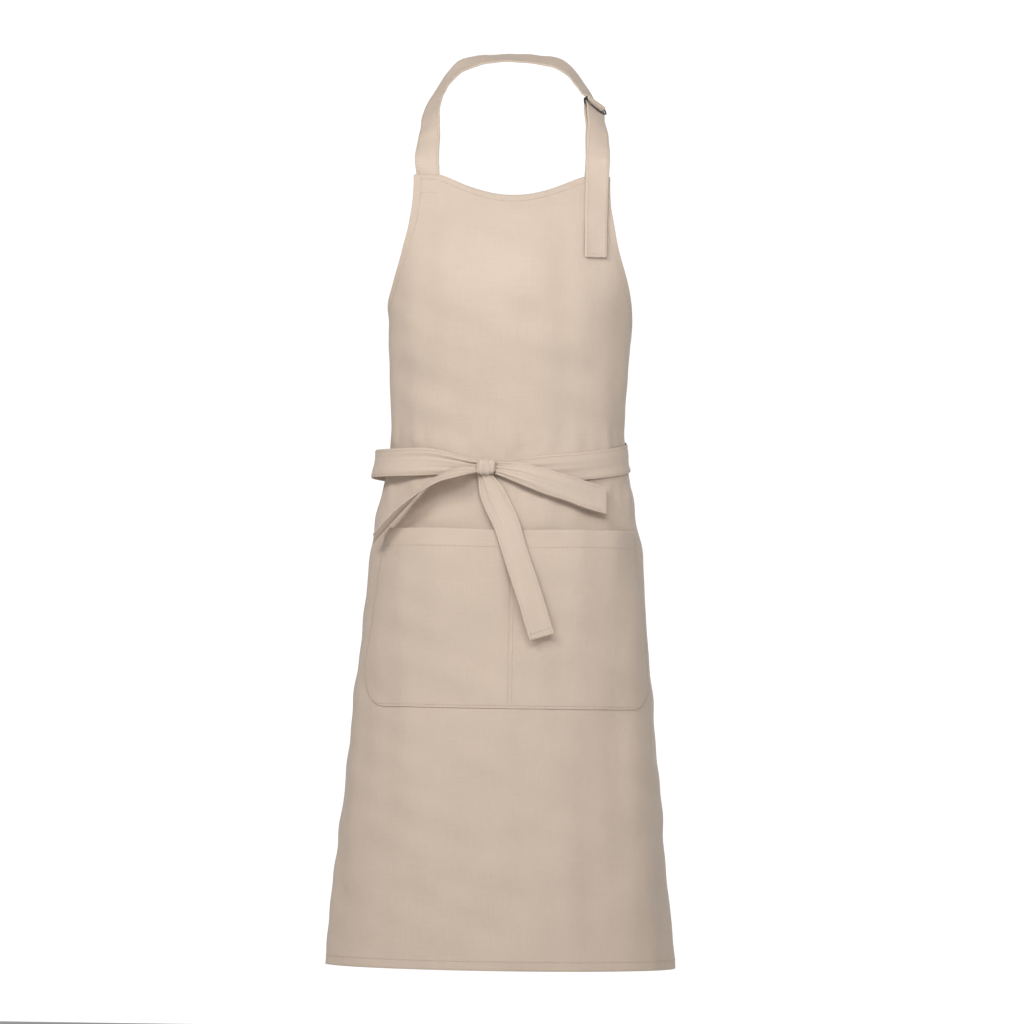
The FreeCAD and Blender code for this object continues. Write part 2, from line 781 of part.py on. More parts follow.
def bow_tail_long():
    """Loose end that hangs from the knot over the pocket."""
    places = (
        # round the body, drop below the knot, width, lift
        (0.0, KNOT_HEIGHT / 2 + 3.4, 17.0, 7.0),
        (6.0, 26.0, 24.0, 7.5),
        (14.0, 44.0, 26.0, 8.5),
        (24.0, 66.0, 25.0, 9.5),
        (32.0, 92.0, 24.0, 12.0),
        (41.0, 120.0, 24.0, 14.5),
        (50.0, 148.0, 24.0, 16.0),
        (57.0, 172.0, 24.0, 16.5),
        (62.0, 188.0, 24.0, 16.5),
    )
    pairs = []
    for s, drop, width, lift in places:
        middle = KNOT_AT + s
        z = KNOT_Z - drop
        tilt = 0.16
        first = cloth_point(middle - width / 2, z - width * tilt, lift)
        second = cloth_point(middle + width / 2, z + width * tilt, lift)
        pairs.append((first, second))
    return ribbon(pairs, -TIE / 2, TIE / 2)


def bow_tail_short():
    """Loose end that stands on edge, out to the wearer's right."""
    places = (
        # round the body, drop of the inner edge, fall of the outer edge, its spread
        (0.3, 0.0, 6.0, 0.0),
        (12.0, -1.0, 10.0, 0.0),
        (24.0, 0.0, 12.0, 1.0),
        (42.0, 9.0, 8.0, 2.0),
        (64.0, 28.0, 1.0, 3.0),
        (86.0, 51.0, -6.0, 4.0),
        (104.0, 70.0, -9.0, 3.0),
        (124.0, 88.0, -10.0, 0.0),
    )
    pairs = []
    for place, drop, fall, reach in places:
        lift = TAIL_LIFT + max(place - 80, 0) * 0.12
        inner = cloth_point(knot_edge(-1) - place, KNOT_Z - drop, lift)
        forward = min(TIE_WIDTH * 0.97, 9.0 + place * 1.1)
        pairs.append((inner, inner + V(-reach, -forward, -fall)))
    return ribbon(pairs, -TIE / 2, TIE / 2)


# ---------------------------------------------------------------- pieces

def pieces():
    """Every node's name with its shape."""
    armhole_low = WAIST + 2
    armhole_high = BIB_TOP - STRAP_UNDERLAP - 2
    result = {
        "apron_panel": apron_panel(),
        "bottom_hem": bottom_hem(),
        "neckline_facing": neckline_facing(),
        "neckline_stitches": neckline_stitches(),
        "bottom_hem_stitches": bottom_stitches(),
        "pocket_panel": pocket_panel(),
        "pocket_top_hem": pocket_top_hem(),
        "pocket_divider_stitches": pocket_divider_stitches(),
        "pocket_outline_stitches": pocket_outline_stitches(),
        "pocket_hem_stitches": pocket_hem_stitches(),
        "neck_strap": neck_strap(),
        "ring_loop": ring_loop(),
        "back_d_ring": d_ring(0.0, 0.0),
        "front_d_ring": d_ring(RING_PITCH, RING_TILT),
        "adjusting_strap": adjusting_strap(),
        "strap_tail": strap_tail(),
        "tail_end_stitches": tail_end_stitches(),
        "waist_tie_left": waist_tie(-1, WAIST, WAIST - 30, KNOT_AT + 2, 0.0),
        "waist_tie_right": waist_tie(1, WAIST - TIE_WIDTH - TIE_SPACE, WAIST - 19,
                                     2 - KNOT_AT, TIE_SLACK),
        "bow_knot": bow_knot(),
        "bow_loop": bow_loop(),
        "bow_tail_long": bow_tail_long(),
        "bow_tail_short": bow_tail_short(),
    }
    for name, side in (("left", 1), ("right", -1)):
        result["side_hem_" + name] = side_hem(side)
        result["armhole_hem_" + name] = armhole_hem(side)
        result["strap_stitches_" + name] = strap_base_stitches(side)
        result["side_stitches_" + name] = side_stitches(
            side, HEM + HEM_LIFT + BOTTOM_HEM, WAIST - 2, 25)
        result["armhole_stitches_" + name] = side_stitches(
            side, armhole_low, armhole_high, 21)
    return result


os.makedirs("parts", exist_ok=True)
for name, shape in pieces().items():
    print(name, shape.ShapeType, shape.isValid(), round(shape.Volume))
    shape.exportStep("parts/" + name + ".step")
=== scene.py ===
import math

import bpy
import numpy as np
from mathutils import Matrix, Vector


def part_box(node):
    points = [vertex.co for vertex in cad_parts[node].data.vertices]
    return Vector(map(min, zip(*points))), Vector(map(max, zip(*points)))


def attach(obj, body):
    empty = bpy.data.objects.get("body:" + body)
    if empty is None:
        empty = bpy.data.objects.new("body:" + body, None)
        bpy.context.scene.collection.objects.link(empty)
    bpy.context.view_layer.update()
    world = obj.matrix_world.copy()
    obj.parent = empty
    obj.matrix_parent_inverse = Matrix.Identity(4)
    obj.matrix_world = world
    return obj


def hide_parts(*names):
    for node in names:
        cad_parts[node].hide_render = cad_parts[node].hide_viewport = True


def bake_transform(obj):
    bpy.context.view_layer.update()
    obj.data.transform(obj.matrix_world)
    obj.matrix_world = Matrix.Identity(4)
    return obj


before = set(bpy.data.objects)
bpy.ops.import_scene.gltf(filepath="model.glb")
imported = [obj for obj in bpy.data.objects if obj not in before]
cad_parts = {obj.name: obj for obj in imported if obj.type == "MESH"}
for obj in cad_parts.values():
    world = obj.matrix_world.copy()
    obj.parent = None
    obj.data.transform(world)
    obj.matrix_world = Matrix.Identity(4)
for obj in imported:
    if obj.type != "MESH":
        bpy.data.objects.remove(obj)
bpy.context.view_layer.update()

# The looks of the bib apron: every cloth piece is built as a thin sheet laid on
# the body's surface, and every seam as its separate stitches. Metres throughout.

# ------------------------ the design's sizes

PANEL_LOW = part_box("apron_panel")[0]
BIB_TOP = -0.129
WAIST = -0.430
HEM = PANEL_LOW[2]
BIB_LENGTH = BIB_TOP - WAIST
SKIRT_LENGTH = WAIST - HEM
BIB_TOP_HALF = 0.112
SKIRT_HALF = 0.330
SCOOP_HALF = 0.082
SCOOP_DEPTH = 0.022
HEM_LIFT = 0.006
CLOTH = 0.001
NECK_HEM = 0.009
SIDE_HEM = 0.012
BOTTOM_HEM = 0.013
POCKET_TOP = WAIST - 0.097
POCKET_HEIGHT = 0.199
POCKET_FOOT = POCKET_TOP - POCKET_HEIGHT
POCKET_TOP_HALF = 0.157
POCKET_BOTTOM_HALF = 0.196
POCKET_SHIFT = 0.006
POCKET_CORNER = 0.048
POCKET_BULGE = 0.013
POCKET_HEM = 0.020
STRAP_WIDTH = 0.026
STRAP = 0.0017
STRAP_SEAT = 0.096
STRAP_UNDERLAP = 0.028
STRAP_MIDDLE = 0.0023       # strap's middle from the route between its layers
TAIL_DROP = 0.091
TIE_WIDTH = 0.031
TIE = 0.0014
KNOT_S = -0.024
KNOT_Z = WAIST - 0.026
KNOT_WIDTH = 0.020
KNOT_HEIGHT = 0.017
KNOT_DEPTH = 0.011
TIE_DROP_LEFT = 0.0275      # the ties' middles below the waist, round the front
TIE_DROP_RIGHT = 0.0215
LAYER = CLOTH * 0.9         # thickness of a turned edge and of the pocket's cloth
BEHIND_PANEL = CLOTH * 0.85

# Where the soft joints turn
TAIL_HINGE = np.array([0.0961, -0.0797, -0.0960])
LOOP_HINGE = np.array([-0.0137, -0.1405, -0.457])
LONG_HINGE = np.array([-0.0245, -0.1376, -0.4675])
SHORT_HINGE = np.array([-0.0353, -0.1435, -0.456])

# Body that the cloth hangs round: height, half width, front, back
STATIONS = np.array([
    (0.0, 0.148, -0.072, 0.010),
    (BIB_TOP, 0.148, -0.100, 0.012),
    (BIB_TOP - 0.17 * BIB_LENGTH, 0.147, -0.126, 0.018),
    (BIB_TOP - 0.36 * BIB_LENGTH, 0.144, -0.149, 0.024),
    (BIB_TOP - 0.56 * BIB_LENGTH, 0.136, -0.148, 0.028),
    (BIB_TOP - 0.80 * BIB_LENGTH, 0.132, -0.136, 0.032),
    (WAIST, 0.131, -0.130, 0.036),
    (WAIST - 0.09 * SKIRT_LENGTH, 0.139, -0.132, 0.044),
    (WAIST - 0.20 * SKIRT_LENGTH, 0.151, -0.140, 0.056),
    (WAIST - 0.32 * SKIRT_LENGTH, 0.158, -0.146, 0.066),
    (WAIST - 0.55 * SKIRT_LENGTH, 0.171, -0.152, 0.076),
    (WAIST - 0.80 * SKIRT_LENGTH, 0.184, -0.158, 0.084),
    (HEM, 0.195, -0.163, 0.090),
    (HEM - 0.060, 0.199, -0.164, 0.092),
])


def station_slopes():
    last = len(STATIONS) - 1
    low = np.maximum(np.arange(last + 1) - 1, 0)
    high = np.minimum(np.arange(last + 1) + 1, last)
    rise = STATIONS[high, 1:] - STATIONS[low, 1:]
    return rise / (STATIONS[high, :1] - STATIONS[low, :1])


SLOPES = station_slopes()


def body(z):
    """Half width, front and back of the body at heights z."""
    index = np.searchsorted(-STATIONS[:, 0], -z, side="right") - 1
    index = np.clip(index, 0, len(STATIONS) - 2)
    top = STATIONS[index, 0]
    span = STATIONS[index + 1, 0] - top
    t = ((z - top) / span)[..., None]
    span = span[..., None]
    start, end = STATIONS[index, 1:], STATIONS[index + 1, 1:]
    leave, arrive = SLOPES[index] * span, SLOPES[index + 1] * span
    value = start * (2 * t ** 3 - 3 * t ** 2 + 1) + leave * (t ** 3 - 2 * t ** 2 + t)
    value = value + end * (3 * t ** 2 - 2 * t ** 3) + arrive * (t ** 3 - t ** 2)
    return value[..., 0], value[..., 1], value[..., 2]


def on_body(s, z):
    """Points at heights z, and s round the body from the front's middle."""
    s, z = np.broadcast_arrays(np.asarray(s, float), np.asarray(z, float))
    half, front, back = body(z)
    depth, middle = (back - front) / 2, (back + front) / 2
    steps = 60
    part = np.abs(s) / steps
    angle = np.zeros_like(part)
    for _ in range(steps):
        rate = np.hypot(half * np.cos(angle), depth * np.sin(angle))
        guess = angle + part / rate / 2
        angle = angle + part / np.hypot(half * np.cos(guess), depth * np.sin(guess))
    angle = np.copysign(angle, s)
    return np.stack([half * np.sin(angle), middle - depth * np.cos(angle), z], -1)


def unit(v):
    return v / np.maximum(np.linalg.norm(v, axis=-1, keepdims=True), 1e-12)


def body_normal(s, z):
    step = 0.0005
    across = on_body(s + step, z) - on_body(s - step, z)
    upward = on_body(s, z + step) - on_body(s, z - step)
    return unit(np.cross(across, upward))


def eased(t):
    t = np.clip(t, 0.0, 1.0)
    return t * t * (3 - 2 * t)


# ------------------------ folds in the cloth

def random_waves(count, short, long, seed):
    """Directions, wavelengths and phases of soft ripples."""
    source = np.random.default_rng(seed)
    turn = source.uniform(0, math.pi, count)
    length = source.uniform(short, long, count)
    phase = source.uniform(0, 2 * math.pi, count)
    return turn, length, phase


MOTTLE = random_waves(14, 0.035, 0.095, 5)


def ripple(s, z, waves):
    turn, length, phase = waves
    total = np.zeros(np.broadcast(s, z).shape)
    for a, wave, start in zip(turn, length, phase):
        total = total + np.sin((s * math.cos(a) + z * math.sin(a)) * 2 * math.pi / wave + start)
    return total / math.sqrt(len(turn))


def tie_height(s):
    """Middle height of the ties round the front."""
    return np.where(np.asarray(s) > KNOT_S, WAIST - TIE_DROP_LEFT, WAIST - TIE_DROP_RIGHT)


def folds(s, z):
    """How far the cloth stands off its smooth shape."""
    s, z = np.broadcast_arrays(np.asarray(s, float), np.asarray(z, float))
    down = np.clip((WAIST - 0.03 - z) / SKIRT_LENGTH, 0.0, 1.0)
    lean = 0.5 * np.sin(z * 7.0 + 1.3) + 0.3 * np.sin(z * 17.0)
    flutes = np.sin(s / 0.021 + lean) * 0.5 + np.sin(s / 0.0135 + 2.1 - lean) * 0.3
    side = eased((np.abs(s) - 0.12) / 0.16)
    height = down ** 0.7 * (0.0013 + 0.0028 * side)
    total = flutes * height
    total = total + ripple(s, z, MOTTLE) * 0.0010
    band = np.abs(z - tie_height(s))
    near = np.exp(-((band - 0.016) / 0.028) ** 2)
    pleat = np.sin(s / 0.0036 + 1.2 * np.sin(s / 0.02)) * 0.6 + np.sin(s / 0.0061 + 1.0) * 0.6
    total = total + near * pleat * 0.0009
    held = eased((band - 0.012) / 0.016)
    top = eased((BIB_TOP - 0.004 - z) / 0.05)
    return total * held * (0.25 + 0.75 * top)


def lay(s, z, lift):
    """Points of cloth that stands lift outside the body, with its folds."""
    s, z = np.broadcast_arrays(np.asarray(s, float), np.asarray(z, float))
    height = lift + folds(s, z)
    return on_body(s, z) + body_normal(s, z) * height[..., None]


# ------------------------ meshes

def make_object(name, points, faces, uvs=None):
    mesh = bpy.data.meshes.new(name)
    mesh.from_pydata([tuple(p) for p in points], [], faces)
    mesh.update()
    if uvs is not None:
        layer = mesh.uv_layers.new(name="grain")
        index = np.empty(len(mesh.loops), dtype=np.int32)
        mesh.loops.foreach_get("vertex_index", index)
        layer.data.foreach_set("uv", np.asarray(uvs, np.float32)[index].ravel())
    mesh.polygons.foreach_set("use_smooth", [True] * len(mesh.polygons))
    mesh.validate()
    obj = bpy.data.objects.new(name, mesh)
    bpy.context.scene.collection.objects.link(obj)
    return obj


def grid_normals(points, closed=False):
    """Normals of a grid of points, from its two directions."""
    if closed:
        along = np.roll(points, -1, 0) - np.roll(points, 1, 0)
    else:
        along = np.gradient(points, axis=0)
    across = np.gradient(points, axis=1)
    return unit(np.cross(across, along))


def distances(points):
    """How far along a row of points each one lies."""
    gaps = np.linalg.norm(np.diff(points, axis=0), axis=1)
    return np.concatenate([[0], np.cumsum(gaps)])


def at_distances(rows, far, at):
    """Rows of numbers at distances at, from rows at distances far."""
    return np.stack([np.interp(at, far, column) for column in rows.T], 1)


def grid_uvs(points):
    """Distances along the two directions of a grid, in metres of cloth."""
    rows, columns = points.shape[:2]
    over, down = distances(points[rows // 2]), distances(points[:, columns // 2])
    return np.stack(np.meshgrid(over, down), -1)


def sheet_mesh(name, points, thick, uvs=None, closed=False):
    """Closed thin sheet about a grid of points, with a rounded rim.

    closed joins the last row to the first, as in a band that meets itself."""
    points = np.asarray(points, float)
    rows, columns = points.shape[:2]
    normals = grid_normals(points, closed)
    if uvs is None:
        uvs = grid_uvs(points)
    half = thick / 2
    outer = (points + normals * half).reshape(-1, 3)
    inner = (points - normals * half).reshape(-1, 3)
    total = rows * columns
    number = np.arange(total).reshape(rows, columns)
    rim = [(r, 0) for r in range(rows)]
    if closed:
        rims = [rim, [(r, columns - 1) for r in range(rows)]]
    else:
        loop = rim + [(rows - 1, c) for c in range(1, columns)]
        loop += [(r, columns - 1) for r in range(rows - 2, -1, -1)]
        loop += [(0, c) for c in range(columns - 2, 0, -1)]
        rims = [loop]
    around = np.concatenate([number, number[:1]]) if closed else number
    a, b = around[:-1, :-1].ravel(), around[1:, :-1].ravel()
    c, d = around[1:, 1:].ravel(), around[:-1, 1:].ravel()
    faces = np.stack([a, d, c, b], 1).tolist() + (np.stack([a, b, c, d], 1) + total).tolist()
    extra, extra_uvs = [], []
    base = 2 * total
    for loop in rims:
        count = len(loop)
        for r, k in loop:
            rr = min(max(r, 1), rows - 2) if not closed else r
            kk = min(max(k, 1), columns - 2) if columns > 2 else columns // 2
            away = points[r, k] - points[rr, kk]
            extra.append(points[r, k] + unit(away) * half * 0.8)
            extra_uvs.append(uvs[r, k])
        for i in range(count):
            j = (i + 1) % count
            v0, v1 = number[loop[i]], number[loop[j]]
            e0, e1 = base + i, base + j
            if loop is rims[0]:
                faces.append([int(v0), int(v1), e1, e0])
                faces.append([e0, e1, int(v1) + total, int(v0) + total])
            else:
                faces.append([int(v1), int(v0), e0, e1])
                faces.append([e1, e0, int(v0) + total, int(v1) + total])
        base += count
    everything = np.concatenate([outer, inner, np.array(extra)])
    flat = uvs.reshape(-1, 2)
    all_uvs = np.concatenate([flat, flat, np.array(extra_uvs)])
    return make_object(name, everything, faces, all_uvs)


def walk(rows, pitch):
    """Even steps along rows whose first three numbers are a place."""
    far = distances(rows[:, :3])
    at = np.linspace(0, far[-1], max(int(far[-1] / pitch) + 1, 2))
    return at_distances(rows, far, at)


def curve_through(places, count):
    """Smooth curve through rows of numbers, evenly sampled by row."""
    places = np.asarray(places, float)
    last = len(places) - 1
    at = np.linspace(0, last, count)
    index = np.minimum(at.astype(int), last - 1)
    t = (at - index)[:, None]
    p1, p2 = places[index], places[index + 1]
    p0 = np.where((index > 0)[:, None], places[np.maximum(index - 1, 0)], 2 * p1 - p2)
    p3 = np.where((index + 2 <= last)[:, None], places[np.minimum(index + 2, last)],
                  2 * p2 - p1)
    value = 2 * p1 + (p2 - p0) * t + (2 * p0 - 5 * p1 + 4 * p2 - p3) * t ** 2
    return (value + (3 * p1 - p0 - 3 * p2 + p3) * t ** 3) / 2


# ------------------------ stitches

STITCH_PITCH = 0.0034
STITCH_LENGTH = 0.0026
STITCH_RADIUS = 0.00028
STITCH_SIDES = 6
STITCH_RINGS = 5
STITCH_STEPS = 4            # places on the seam for each stitch and its gap


def stitch_rows(name, rows):
    """Separate stitches along rows of (points, normals)."""
    points, faces = [], []
    sides = np.linspace(0, 2 * math.pi, STITCH_SIDES, endpoint=False)
    for line, normals in rows:
        path = walk(np.concatenate([line, normals], 1), STITCH_PITCH / STITCH_STEPS)
        share = STITCH_LENGTH / STITCH_PITCH * STITCH_STEPS
        for start in range(0, len(path) - STITCH_STEPS, STITCH_STEPS):
            at = start + np.linspace(0, share, STITCH_RINGS)
            low = np.minimum(at.astype(int), len(path) - 2)
            t = (at - low)[:, None]
            row = path[low] * (1 - t) + path[low + 1] * t
            centre, up = row[:, :3], unit(row[:, 3:])
            arch = np.array([-0.5, 0.55, 0.8, 0.55, -0.5])[:, None] * STITCH_RADIUS
            wide = np.array([0.6, 1.0, 1.0, 1.0, 0.6])
            ahead = unit(centre[-1] - centre[0])
            aside = unit(np.cross(ahead, up))
            centre = centre + up * arch
            base = len(points)
            for k in range(STITCH_RINGS):
                for angle in sides:
                    ring = aside[k] * math.cos(angle) + up[k] * math.sin(angle)
                    points.append(centre[k] + ring * STITCH_RADIUS * wide[k])
            for k in range(STITCH_RINGS - 1):
                a = base + k * STITCH_SIDES
                b = a + STITCH_SIDES
                for i in range(STITCH_SIDES):
                    j = (i + 1) % STITCH_SIDES
                    faces.append([a + i, a + j, b + j, b + i])
            faces.append([base + i for i in reversed(range(STITCH_SIDES))])
            faces.append([b + i for i in range(STITCH_SIDES)])
    return make_object(name, points, faces)


def body_row(places, lift):
    """A seam's points and normals through (s, z) places on the body's cloth."""
    places = np.asarray(places, float)
    s, z = places[:, 0], places[:, 1]
    return lay(s, z, lift), body_normal(s, z)


# ------------------------ materials

WEAVE_PITCH = 0.00062


def new_material(name):
    material = bpy.data.materials.new(name)
    material.use_nodes = True
    tree = material.node_tree
    shader = tree.nodes["Principled BSDF"]
    return material, tree, shader


def add(tree, kind, **sockets):
    node = tree.nodes.new(kind)
    for key, value in sockets.items():
        node.inputs[key.replace("_", " ")].default_value = value
    return node


def give(tree, socket, value):
    """Sets a socket's value, or links it to the socket that brings one."""
    if isinstance(value, bpy.types.NodeSocket):
        tree.links.new(value, socket)
    else:
        socket.default_value = value


def math_node(tree, operation, *values, clamp=False):
    node = tree.nodes.new("ShaderNodeMath")
    node.operation = operation
    node.use_clamp = clamp
    for socket, value in zip(node.inputs, values):
        give(tree, socket, value)
    return node.outputs[0]


def mix_colours(tree, factor, first, second):
    node = tree.nodes.new("ShaderNodeMix")
    node.data_type = "RGBA"
    for index, value in ((0, factor), (6, first), (7, second)):
        give(tree, node.inputs[index], value)
    return node.outputs[2]


def noise_node(tree, vector, **sockets):
    node = add(tree, "ShaderNodeTexNoise", **sockets)
    tree.links.new(vector, node.inputs["Vector"])
    return node.outputs[0]


def bump_node(tree, height, **sockets):
    node = add(tree, "ShaderNodeBump", **sockets)
    tree.links.new(height, node.inputs["Height"])
    return node


def toned(colour, share):
    """A colour made darker or lighter, as a socket takes it."""
    return tuple(min(c * share, 1.0) for c in colour) + (1.0,)


def woven(name, colour, crumple=1.0):
    """Plain-woven cotton: crossing yarns with slubs, soft creases, and a broad colour mottle
    that is partly the cloth's own uneven tone and partly painted shade of soft creases.
    """
    material, tree, shader = new_material(name)
    links = tree.links
    grain = tree.nodes.new("ShaderNodeUVMap")
    grain.uv_map = "grain"
    parts = tree.nodes.new("ShaderNodeSeparateXYZ")
    links.new(grain.outputs[0], parts.inputs[0])
    turn = math.pi / WEAVE_PITCH
    warp = math_node(tree, "SINE", math_node(tree, "MULTIPLY", parts.outputs[0], turn))
    weft = math_node(tree, "SINE", math_node(tree, "MULTIPLY", parts.outputs[1], turn))
    over = math_node(tree, "MULTIPLY", warp, weft)
    yarns = []
    for stretch in ((900.0, 28.0, 1.0), (28.0, 900.0, 1.0)):
        mapping = add(tree, "ShaderNodeMapping", Scale=stretch)
        links.new(grain.outputs[0], mapping.inputs[0])
        yarns.append(noise_node(tree, mapping.outputs[0], Scale=1.0, Detail=2.0,
                                Roughness=0.5))
    slub = math_node(tree, "MAXIMUM", yarns[0], yarns[1])
    place = tree.nodes.new("ShaderNodeTexCoord").outputs["Object"]
    # broad mottle in the base colour: partly the cloth's own uneven tone, partly painted shade
    # of soft creases
    mottle_tone_and_shade = noise_node(tree, place, Scale=16.0, Detail=3.0, Roughness=0.55)
    small = noise_node(tree, place, Scale=75.0, Detail=4.0, Roughness=0.6)
    spread = math_node(tree, "MULTIPLY_ADD", mottle_tone_and_shade, 0.9, 0.05)
    tone = math_node(tree, "MULTIPLY_ADD", slub, 0.75, -0.28)
    share = math_node(tree, "ADD", math_node(tree, "MULTIPLY", spread, 0.6), tone, clamp=True)
    base = mix_colours(tree, share, toned(colour, 0.88), toned(colour, 1.09))
    deep = math_node(tree, "MULTIPLY_ADD", over, 0.10, 0.10)
    links.new(mix_colours(tree, deep, base, toned(colour, 0.72)), shader.inputs["Base Color"])
    rough = math_node(tree, "MULTIPLY_ADD", small, 0.12, 0.82)
    links.new(rough, shader.inputs["Roughness"])
    shader.inputs["Sheen Weight"].default_value = 0.18
    shader.inputs["Sheen Roughness"].default_value = 0.5
    shader.inputs["Specular IOR Level"].default_value = 0.22
    creases = bump_node(tree, small, Strength=0.55 * crumple, Distance=0.0012)
    height = math_node(tree, "ADD", over, math_node(tree, "MULTIPLY", slub, 1.6))
    weave = bump_node(tree, height, Strength=0.35, Distance=0.00012)
    links.new(creases.outputs[0], weave.inputs["Normal"])
    links.new(weave.outputs[0], shader.inputs["Normal"])
    return material


def thread_material(name, colour):
    """Twisted sewing thread."""
    material, tree, shader = new_material(name)
    place = tree.nodes.new("ShaderNodeTexCoord").outputs["Object"]
    twist = noise_node(tree, place, Scale=2600.0, Detail=2.0)
    tree.links.new(mix_colours(tree, twist, toned(colour, 0.82), toned(colour, 1.1)),
                   shader.inputs["Base Color"])
    relief = bump_node(tree, twist, Distance=0.0001)
    tree.links.new(relief.outputs[0], shader.inputs["Normal"])
    shader.inputs["Roughness"].default_value = 0.62
    shader.inputs["Sheen Weight"].default_value = 0.2
    return material


def steel_material(name):
    """Dark plated steel wire, lightly rubbed."""
    material, tree, shader = new_material(name)
    place = tree.nodes.new("ShaderNodeTexCoord").outputs["Object"]
    rub = noise_node(tree, place, Scale=420.0, Detail=5.0, Roughness=0.65)
    colour = mix_colours(tree, rub, (0.075, 0.068, 0.062, 1.0), (0.20, 0.185, 0.17, 1.0))
    tree.links.new(colour, shader.inputs["Base Color"])
    rough = math_node(tree, "MULTIPLY_ADD", rub, 0.22, 0.20)
    tree.links.new(rough, shader.inputs["Roughness"])
    relief = bump_node(tree, rub, Strength=0.25, Distance=0.00008)
    tree.links.new(relief.outputs[0], shader.inputs["Normal"])
    shader.inputs["Metallic"].default_value = 1.0
    return material


STONE = (0.60, 0.485, 0.392)
MATERIALS = {
    "apron_cloth": woven("cotton_canvas", STONE),
    "pocket_cloth": woven("pocket_canvas", tuple(c * 0.99 for c in STONE)),
    "strap_cloth": woven("strap_canvas", tuple(min(c * 1.02, 1) for c in STONE), crumple=0.6),
    "thread": thread_material("cotton_thread", tuple(c * 0.93 for c in STONE)),
    "ring_steel": steel_material("dark_steel"),
}


def piece(obj, slot, body, nodes=(), bend=None):
    """Gives a piece its finish and attaches it to its body's empty, or, when a bend is passed,
    only bakes its place into its mesh; hides the nodes it stands for.
    """
    obj.data.materials.clear()
    obj.data.materials.append(MATERIALS[slot])
    if bend is None:
        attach(obj, body)
    else:
        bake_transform(obj)
    if nodes:
        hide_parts(*nodes)
    return obj


# ------------------------ panel and hems

def edge_half(z):
    fall = np.clip((BIB_TOP - np.asarray(z, float)) / BIB_LENGTH, 0.0, 1.0)
    return BIB_TOP_HALF + (SKIRT_HALF - BIB_TOP_HALF) * fall ** 2


def neckline(s):
    inside = np.maximum(1 - (np.asarray(s, float) / SCOOP_HALF) ** 2, 0.0)
    return BIB_TOP - SCOOP_DEPTH * inside ** 1.3


def hem_line(u):
    return WAIST - SKIRT_LENGTH + HEM_LIFT * np.asarray(u, float) ** 2


def apron_cloth():
    u = np.linspace(-1, 1, 281)
    v = np.linspace(0, 1, 341)
    u, v = np.meshgrid(u, v)
    low = hem_line(u)
    z = low + v * (neckline(u * BIB_TOP_HALF) - low)
    s = u * edge_half(z)
    points = lay(s, z, CLOTH * 0.55)
    obj = sheet_mesh("apron_cloth", points, CLOTH * 0.85, np.stack([s, z], -1))
    piece(obj, "apron_cloth", "apron", ["apron_panel"])
    hems() + panel_seams()


def strip(name, s, z, node):
    """Turned edge behind the panel, on a grid of (s, z)."""
    points = lay(s, z, -BEHIND_PANEL)
    obj = sheet_mesh(name, points, LAYER, np.stack([s, z], -1))
    return piece(obj, "apron_cloth", "apron", [node])


def hems():
    """Turned edges of the panel, each a folded layer behind it."""
    results = []
    reach = SKIRT_HALF - SIDE_HEM - 0.001
    s, t = np.meshgrid(np.linspace(-reach, reach, 221), np.linspace(0, 1, 7))
    z = hem_line(s / SKIRT_HALF) + t * BOTTOM_HEM
    results.append(strip("bottom_hem_fold", s, z, "bottom_hem"))
    reach = SCOOP_HALF - 0.002
    s, t = np.meshgrid(np.linspace(-reach, reach, 81), np.linspace(0, 1, 6))
    z = neckline(s) - 0.0002 - t[::-1] * NECK_HEM
    results.append(strip("neckline_fold", s, z, "neckline_facing"))
    for name, side in (("left", 1), ("right", -1)):
        for kind, low, high in (
            ("side_hem_", HEM + HEM_LIFT, WAIST - TIE_WIDTH - 0.022),
            ("armhole_hem_", WAIST + 0.008, BIB_TOP - STRAP_UNDERLAP - 0.002),
        ):
            z, t = np.meshgrid(np.linspace(low, high, 161), np.linspace(0, 1, 6),
                               indexing="ij")
            s = side * (edge_half(z) - SIDE_HEM * (t if side < 0 else 1 - t))
            results.append(strip(kind + "fold_" + name, s, z, kind + name))
    return results


THREAD_LIFT = CLOTH * 0.975 + STITCH_RADIUS * 0.35


def panel_seams():
    """Rows of stitches that hold the turned edges."""
    seams = []
    reach = SCOOP_HALF - 0.001
    s = np.linspace(-reach, reach, 120)
    row = body_row(np.stack([s, neckline(s) - NECK_HEM + 0.002], 1), THREAD_LIFT)
    seams.append(("neckline_topstitch", row, "neckline_stitches"))
    reach = SKIRT_HALF - 0.004
    s = np.linspace(-reach, reach, 400)
    row = body_row(np.stack([s, hem_line(s / SKIRT_HALF) + BOTTOM_HEM - 0.003], 1), THREAD_LIFT)
    seams.append(("hem_topstitch", row, "bottom_hem_stitches"))
    for name, side in (("left", 1), ("right", -1)):
        for kind, low, high in (
            ("side", HEM + HEM_LIFT + 0.004, WAIST - 0.002),
            ("armhole", WAIST + 0.002, BIB_TOP - 0.001),
        ):
            z = np.linspace(low, high, 300)
            places = np.stack([side * (edge_half(z) - SIDE_HEM + 0.003), z], 1)
            seams.append((kind + "_topstitch_" + name, body_row(places, THREAD_LIFT),
                          kind + "_stitches_" + name))
    return [piece(stitch_rows(name, [row]), "thread", "apron", [node])
            for name, row, node in seams]


# ------------------------ pocket

def pocket_half(z):
    rise = (z - POCKET_FOOT) / POCKET_HEIGHT
    half = POCKET_BOTTOM_HALF + (POCKET_TOP_HALF - POCKET_BOTTOM_HALF) * rise
    drop = np.clip(POCKET_CORNER - (z - POCKET_FOOT), 0.0, POCKET_CORNER)
    return half - POCKET_CORNER + np.sqrt(POCKET_CORNER ** 2 - drop ** 2)


